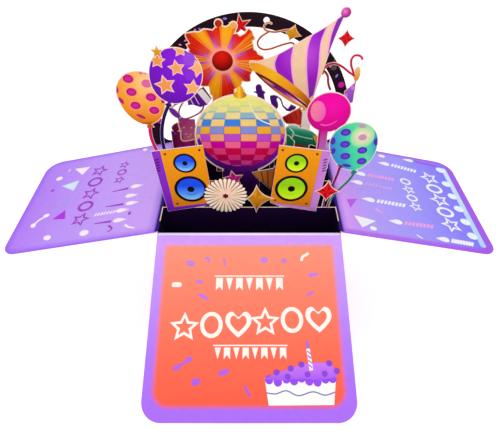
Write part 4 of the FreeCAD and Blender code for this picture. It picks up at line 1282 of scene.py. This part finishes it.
class CARD_OT_starburst(bpy.types.Operator):
    """Prints the burst: rays in yellow, orange, red and violet, fine folds, a halo and a red core"""

    bl_idname = "card.starburst"
    bl_label = "Starburst"

    def execute(self, context):
        face = figure_face("starburst")
        low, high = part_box("starburst")
        x, y = -13.3 - low.x / MM, -(high.z - RIM) / MM + 60.1
        centre = at(face, x, y)
        reach = 23.0 * MM
        face_print(face, "#5c1450")
        glow = [(0.0, "#ffb09c"), (0.25, "#ffa48c")]
        inks = {
            "yellow": glow + [(0.35, "#fba832"), (0.6, "#fbac0c"), (0.85, "#f2a00c"), (1.0, "#e08c14")],
            "orange": glow + [(0.35, "#f88c4c"), (0.6, "#f4820c"), (1.0, "#e0600c")],
            "red": glow + [(0.35, "#e84850"), (0.6, "#e81408"), (0.85, "#dc1804"), (1.0, "#c43008")],
            "crimson": glow + [(0.35, "#d04c8c"), (0.6, "#c80c34"), (1.0, "#b01c14")],
            "violet": glow + [(0.33, "#c874d4"), (0.44, "#c048a4"), (0.58, "#cc2038"), (0.75, "#c41a14"),
                              (1.0, "#a81414")],
        }
        rays = (
            (2, "red"), (15, "violet"), (24, "orange"), (45, "red"), (58, "violet"), (67, "orange"),
            (71, "yellow"), (89, "orange"), (93, "red"), (107, "violet"), (116, "orange"), (120, "yellow"),
            (133, "orange"), (139, "red"), (158, "violet"), (167, "orange"), (183, "violet"),
            (190, "orange"), (206, "red"), (226, "violet"), (238, "orange"), (243, "yellow"),
            (262, "orange"), (267, "red"), (284, "violet"), (292, "orange"), (296, "yellow"),
            (310, "orange"), (316, "crimson"), (327, "violet"), (337, "orange"))
        shapes = {name: [] for name in inks}
        ends = [first for first, name in rays[1:]] + [362]
        for (first, name), last in zip(rays, ends):
            shapes[name].append(wedge(x, y, 5.0, 25.0, first, last, 4))
        for name, parts in shapes.items():
            clipped("burst_rays_" + name, face, parts,
                    round_ink("burst_" + name, inks[name], centre, reach), 2)
        creases = (
            28, 33, 38, 98, 102, 144, 149, 154, 171, 176, 195,
            200, 212, 218, 271, 277, 320, 343, 349, 355, 7)
        folds = [wedge(x, y, 8.4, 20.5, angle - 0.7, angle + 0.7, 1) for angle in creases]
        fold = round_ink("burst_fold", [(0.0, "#f09060"), (0.5, "#d8500c"), (1.0, "#a82008")], centre,
                         reach)
        clipped("burst_folds", face, folds, fold, 3)
        crests = (30.5, 174, 198, 346, 352, 81, 126, 252, 303)
        gleams = [wedge(x, y, 9.0, 19.0, angle - 0.8, angle + 0.8, 1) for angle in crests]
        gleam = round_ink("burst_gleam", [(0.0, "#ffb070"), (0.6, "#ffc030"), (1.0, "#f8a020")], centre,
                          reach)
        clipped("burst_gleams", face, gleams, gleam, 4)
        halo = round_ink("burst_halo", [(0.0, "#ff9c88"), (0.8, "#ffa690"), (1.0, "#fbb0a0")], centre,
                         7.0 * MM)
        printed("burst_halo", face, [oval(x, y, 6.3)], halo, 5)
        stops = [(0.0, "#e41804"), (0.35, "#c80c00"), (0.6, "#a40400"), (0.85, "#740000"), (1.0, "#540000")]
        core = round_ink("burst_core", stops, at(face, x - 0.6, y + 2.6), 8.0 * MM)
        printed("burst_core", face, [oval(x, y, 5.2)], core, 6)
        top = -(high.z - RIM) / MM
        printed("burst_knob_left", face, [oval(x - 1.2, top + 78.2, 1.5)], "#b82408", 3)
        printed("burst_knob_right", face, [oval(x + 5.8, top + 77.2, 1.4)], "#f0a850", 3)
        return {"FINISHED"}


class CARD_OT_small_figures(bpy.types.Operator):
    """Prints the gift, popper, bottle, parcel, drum, horn, notes and candle"""

    bl_idname = "card.small_figures"
    bl_label = "Small Figures"

    def execute(self, context):
        self.gift()
        self.popper()
        self.bottle()
        self.drum()
        self.horn()
        self.notes()
        self.candle()
        return {"FINISHED"}

    def gift(self):
        """A wine-red gift with a cream cord and a speckled mauve lid."""
        face = figure_face("gift_box")
        border = 0.35 * MM
        wine = graded_ink(
            "gift_wine", [(0.0, "#3c0424"), (0.3, "#7a0848"), (0.6, "#9c1070"), (1.0, "#8c0a60")],
            at(face, 0, 0), at(face, 13.2, 0))
        face_print(face, wine, border)
        lid = [(5.4, 2.0), (14.0, 2.0), (14.0, -10.4), (6.6, -11.4)]
        mauve = graded_ink("gift_mauve", [(0.0, "#a83880"), (1.0, "#c8688c")], at(face, 6, -2),
                           at(face, 13, -9))
        clipped("gift_lid", face, [lid], mauve, 2, border)
        cord = [stroke(through([(4.6, 0.0), (5.4, -6.0), (6.0, -11.8), (13.6, -10.6)], 4), 0.8)]
        clipped("gift_cord", face, cord, "#f2c8b0", 3, border)
        specks = [oval(x, y, 0.5, steps=10) for x, y in (
            (7.6, -3.2), (9.8, -5.0), (8.4, -7.4), (11.0, -7.8), (11.6, -3.4), (9.6, -9.2))]
        clipped("gift_specks", face, specks, "#e8b088", 3, border)
        bits = [oval(2.2, -7.0, 0.7, 1.1, 20), oval(4.0, -16.0, 1.2, 0.6, 30), oval(9.4, -15.0, 0.9, 1.3)]
        clipped("gift_bits", face, bits, "#7a20b4", 2, border)

    def popper(self):
        """A violet popper with a white band, a tassel and a curling streamer."""
        face = figure_face("party_popper")
        border = 0.3 * MM
        violet = graded_ink("popper_violet", [(0.0, "#7a30b0"), (0.4, "#5c10a0"), (1.0, "#6c1cae")],
                            at(face, 9, 0), at(face, 22, 0))
        face_print(face, violet, border)
        band = [(15.9, -3.0), (19.0, -1.2), (23.4, -7.6), (20.9, -10.2)]
        clipped("popper_band", face, [band], "#ffffff", 2, border)
        stripes = [stroke([(11.6 + k, -5.6 + 0.6 * k), (14.2 + k, -11.6 + 0.6 * k)], 0.5) for k in (0, 2.4)]
        clipped("popper_stripes", face, stripes, "#e8d0f4", 2, border)
        edge = stroke([(19.2, -0.9), (23.8, -7.2)], 0.7)
        clipped("popper_edge", face, [edge], "#2a0448", 3, border)
        trail = through([(22.0, -10.8), (18.9, -16.3), (14.4, -18.3), (9.4, -18.8), (8.6, -16.0),
                         (9.5, -12.4), (11.2, -9.6)])
        clipped("popper_trail", face, [stroke(trail, 1.3)], "#8a2434", 3, 0.25 * MM)

    def bottle(self):
        """A green bottle with a gold foil neck, and a green parcel behind it."""
        face = figure_face("bottle")
        border = 0.4 * MM
        stops = [(0.0, "#08503c"), (0.5, "#0c7854"), (0.75, "#2c9c78"), (1.0, "#a8dcd0")]
        green = graded_ink("bottle_green", stops, at(face, 9, -12.6), at(face, 11, -1.4))
        face_print(face, green, border)
        neck = [(14.4, -6.4), (16.9, -12.2), (20.4, -15.4), (23.2, -9.4)]
        clipped("bottle_foil", face, [neck], "#e0a41c", 2, border)
        lines = [stroke(through([(3.6, -5.6), (9.2, -7.4), (14.6, -8.6)]), 0.5),
                 stroke(through([(2.6, -2.4), (4.6, -5.0), (3.8, -8.0)]), 0.7)]
        clipped("bottle_lines", face, lines, "#a8dcd0", 2, border)
        stub = [(5.0, -11.2), (13.6, -13.4), (13.8, -45.0), (5.0, -45.0)]
        clipped("bottle_foot", face, [stub], "#7a1c1c", 3, border)
        parcel = figure_face("parcel_green")
        ink = graded_ink("parcel_green_ink", [(0.0, "#10985c"), (1.0, "#0c7048")], at(parcel, 0, 0),
                         at(parcel, 8, -14))
        face_print(parcel, ink, border)

    def drum(self):
        """A red drum on its side with a cream skin and dark lacing."""
        face = figure_face("drum")
        face_print(face, "#f0c8a4", 0.2 * MM)
        side = [(0.5, -6.3), (10.3, -0.6), (12.7, -5.0), (12.1, -11.0), (3.4, -9.8), (1.5, -7.8)]
        red = graded_ink(
            "drum_red", [(0.0, "#78100c"), (0.4, "#c0221c"), (0.75, "#d83a28"), (1.0, "#a01810")],
            at(face, 0, -8), at(face, 13, -4))
        clipped("drum_side", face, [side], red, 2, 0.3 * MM)
        lacing = []
        for k in range(4):
            x, y = 2.4 + 2.6 * k, -6.0 + 1.5 * k
            lacing.append(stroke([(x, y), (x + 1.6, y - 4.4)], 0.4))
        clipped("drum_lacing", face, lacing, "#7c1414", 3, 0.3 * MM)
        skin = stroke([(10.4, -0.4), (13.0, -5.2), (14.4, -7.4)], 1.0)
        clipped("drum_skin", face, [skin], "#fbe0bc", 4, 0.2 * MM)

    def horn(self):
        """An orange party horn with dark bands and an indigo edge."""
        face = figure_face("party_horn")
        face_print(face, "#34185c", 0.2 * MM)
        orange = graded_ink("horn_orange", [(0.0, "#e08820"), (0.5, "#c4702a"), (1.0, "#9c5030")],
                            at(face, 0, -6), at(face, 18, -8))
        clipped("horn_cone", face, [[(0.8, -4.4), (2.4, -7.0), (12.6, -16.8), (17.0, -1.2)]], orange, 2,
                0.5 * MM)
        bands = [stroke([(5.0 + 3.4 * k, -3.2 - 0.2 * k), (6.4 + 2.6 * k, -10.4 - 2.0 * k)], 0.8)
                 for k in range(3)]
        clipped("horn_bands", face, bands, "#84402c", 3, 0.5 * MM)

    def notes(self):
        """Two dark violet music notes."""
        for node in ("note_single", "note_pair"):
            face = figure_face(node)
            low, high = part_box(node)
            ink = graded_ink(node + "_violet", [(0.0, "#4c128c"), (1.0, "#38106c")], high, low)
            face_print(face, ink, 0.22 * MM)

    def candle(self):
        """A purple candle with an orange flame."""
        face = figure_face("candle")
        body = graded_ink("candle_purple", [(0.0, "#c070e4"), (1.0, "#8028c0")], at(face, 0, -10),
                          at(face, 6, -24))
        face_print(face, body, 0.3 * MM)
        gold = graded_ink("flame_gold", [(0.0, "#fbd880"), (1.0, "#f08c1c")], at(face, 5, 0),
                          at(face, 5, -8))
        clipped("candle_flame", face, [oval(5.6, -4.3, 2.4, 4.8)], gold, 2, 0.25 * MM)
        bits = [oval(1.2, -17.4, 1.0, 1.6), oval(4.4, -12.4, 0.8, 1.4)]
        clipped("candle_marks", face, bits, "#e48ad8", 2, 0.3 * MM)


class CARD_OT_arch(bpy.types.Operator):
    """Prints the arch's confetti and the two streamers on it"""

    bl_idname = "card.arch"
    bl_label = "Arch and Streamers"

    def execute(self, context):
        face = figure_face("rear_arch")
        side = -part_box("rear_arch")[0].x / MM
        spots = [oval(side + 51.8, -39.3, 1.75), oval(side - 50.4, -50.0, 1.9),
                 oval(side - 53.6, -62.0, 1.8)]
        printed("arch_magenta_spots", face, spots, "#d810a8")
        flecks = [oval(side + x, y, 0.8, 0.45, turn) for x, y, turn in (
            (-33.6, -14.4, 30), (-36.6, -16.6, -20), (-43.6, -26.4, 50), (-28.2, -9.0, 60),
            (-45.8, -29.4, 0), (44.4, -28.6, 30), (53.6, -47.6, 70))]
        printed("arch_pink_bits", face, flecks, "#e88cc8")
        bits = [oval(side + x, y, 1.1, 0.6, turn) for x, y, turn in (
            (-41.0, -22.0, 40), (-30.6, -10.4, 20), (-25.4, -8.6, -30), (-37.6, -19.4, 10),
            (30.4, -13.0, 25), (40.6, -23.6, 50), (48.6, -34.0, 60), (-47.2, -33.0, 60), (54.4, -52.0, 10),
            (-12.4, -3.2, 0))]
        printed("arch_violet_bits", face, bits, "#9478f0")
        gold = figure_face("streamer_gold")
        low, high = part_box("streamer_gold")
        stops = [(0.0, "#d89878"), (0.3, "#c05840"), (0.6, "#8c2414"), (1.0, "#d03018")]
        tan = graded_ink("streamer_tan", stops, high, Vector((high.x, low.y, low.z)))
        face_print(gold, tan, 0.2 * MM)
        red = figure_face("streamer_red")
        low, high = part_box("streamer_red")
        crimson = graded_ink("streamer_crimson", [(0.0, "#e81468"), (0.5, "#c00c40"), (1.0, "#800424")],
                             high, low)
        face_print(red, crimson, 0.22 * MM)
        return {"FINISHED"}


class CARD_OT_stage(bpy.types.Operator):
    """Sets up the camera, the soft lamps and a plain pale floor"""

    bl_idname = "card.stage"
    bl_label = "Stage"

    def execute(self, context):
        stage = context.scene.card_stage
        self.camera(stage)
        self.lamps(stage)
        self.floor()
        context.scene.view_settings.view_transform = "Standard"
        return {"FINISHED"}

    def camera(self, stage):
        """A camera before the card, looking down into it."""
        ahead = Vector((0, math.cos(stage.pitch), -math.sin(stage.pitch)))
        above = Vector((0, math.sin(stage.pitch), math.cos(stage.pitch)))
        edge = Vector((0, FRONT, RIM))
        spot = edge - stage.distance * ahead + stage.drop * above
        bpy.ops.object.camera_add(location=spot, rotation=(math.pi / 2 - stage.pitch, 0, 0))
        camera = bpy.context.object
        camera.data.lens = stage.lens
        camera.data.sensor_width = 36.0
        camera.data.shift_x = 0.0016
        camera.data.clip_start = 0.01
        bpy.context.scene.camera = camera

    def lamps(self, stage):
        """Even room light, which the camera and glossy card see as white, and two large soft lamps."""
        world = bpy.data.worlds.new("room")
        bpy.context.scene.world = world
        world.use_nodes = True
        tree = world.node_tree
        background = tree.nodes["Background"]
        path = add_node(tree, "ShaderNodeLightPath")
        seen = add_node(
            tree, "ShaderNodeMath", {0: path.outputs["Is Camera Ray"], 1: path.outputs["Is Glossy Ray"]},
            operation="MAXIMUM")
        clear = add_node(
            tree, "ShaderNodeMath", {0: seen.outputs["Value"], 1: path.outputs["Is Transmission Ray"]},
            operation="MAXIMUM")
        strength = add_node(
            tree, "ShaderNodeMapRange",
            {"Value": clear.outputs["Value"], "To Min": stage.room, "To Max": 1.0})
        background.inputs["Color"].default_value = (1, 1, 1, 1)
        tree.links.new(strength.outputs["Result"], background.inputs["Strength"])
        bpy.ops.object.light_add(type="AREA", location=(-0.12, -0.42, 0.62), rotation=(0.62, -0.18, 0))
        lamp = bpy.context.object
        lamp.data.energy = stage.key
        lamp.data.size = 0.5
        bpy.ops.object.light_add(type="AREA", location=(0, -0.95, 0.32), rotation=(math.radians(78), 0, 0))
        fill = bpy.context.object
        fill.data.energy = stage.fill
        fill.data.size = 0.9

    def floor(self):
        """A wide sheet of matt pale paper, lifted towards white for the camera, that keeps the shadow."""
        bpy.ops.mesh.primitive_plane_add(size=6.0, location=(0, 0, 0))
        floor = bpy.context.object
        floor.name = "floor"
        material = bpy.data.materials.new("pale_paper_sweep")
        material.use_nodes = True
        tree = material.node_tree
        shader = tree.nodes["Principled BSDF"]
        shader.inputs["Base Color"].default_value = linear("#f4f4f4")
        shader.inputs["Roughness"].default_value = 0.9
        shader.inputs["Emission Color"].default_value = (1, 1, 1, 1)
        path = add_node(tree, "ShaderNodeLightPath")
        glow = add_node(
            tree, "ShaderNodeMath", {0: path.outputs["Is Camera Ray"], 1: 0.42}, operation="MULTIPLY")
        tree.links.new(glow.outputs["Value"], shader.inputs["Emission Strength"])
        floor.data.materials.append(material)


class CARD_PT_panel(bpy.types.Panel):
    """Lists the steps that dress the card."""

    bl_label = "Pop Up Card"
    bl_idname = "CARD_PT_panel"
    bl_space_type = "VIEW_3D"
    bl_region_type = "UI"
    bl_category = "Pop Up Card"

    def draw(self, context):
        for group in (context.scene.card_paper, context.scene.card_colours, context.scene.card_stage):
            for name in group.bl_rna.properties.keys():
                if name not in ("rna_type", "name"):
                    self.layout.prop(group, name)
        for operator in OPERATORS:
            self.layout.operator(operator.bl_idname)


OPERATORS = (
    CARD_OT_board, CARD_OT_flaps, CARD_OT_front_flap_print, CARD_OT_side_flap_prints, CARD_OT_speakers,
    CARD_OT_rosette, CARD_OT_stars, CARD_OT_mirror_ball, CARD_OT_balloons, CARD_OT_party_hat,
    CARD_OT_starburst, CARD_OT_small_figures, CARD_OT_arch, CARD_OT_stage,
)
SETTINGS = (("card_paper", CardPaper), ("card_colours", CardColours), ("card_stage", CardStage))


def register():
    for name, group in SETTINGS:
        bpy.utils.register_class(group)
        setattr(bpy.types.Scene, name, PointerProperty(type=group))
    for operator in OPERATORS:
        bpy.utils.register_class(operator)
    bpy.utils.register_class(CARD_PT_panel)


def unregister():
    bpy.utils.unregister_class(CARD_PT_panel)
    for operator in OPERATORS:
        bpy.utils.unregister_class(operator)
    for name, group in SETTINGS:
        delattr(bpy.types.Scene, name)
        bpy.utils.unregister_class(group)


def main():
    register()
    bpy.ops.card.board()
    bpy.ops.card.flaps()
    bpy.ops.card.front_flap_print()
    bpy.ops.card.side_flap_prints()
    bpy.ops.card.speakers()
    bpy.ops.card.rosette()
    bpy.ops.card.stars()
    bpy.ops.card.mirror_ball()
    bpy.ops.card.balloons()
    bpy.ops.card.party_hat()
    bpy.ops.card.starburst()
    bpy.ops.card.small_figures()
    bpy.ops.card.arch()
    bpy.ops.card.stage()


if __name__ == "__main__":
    main()
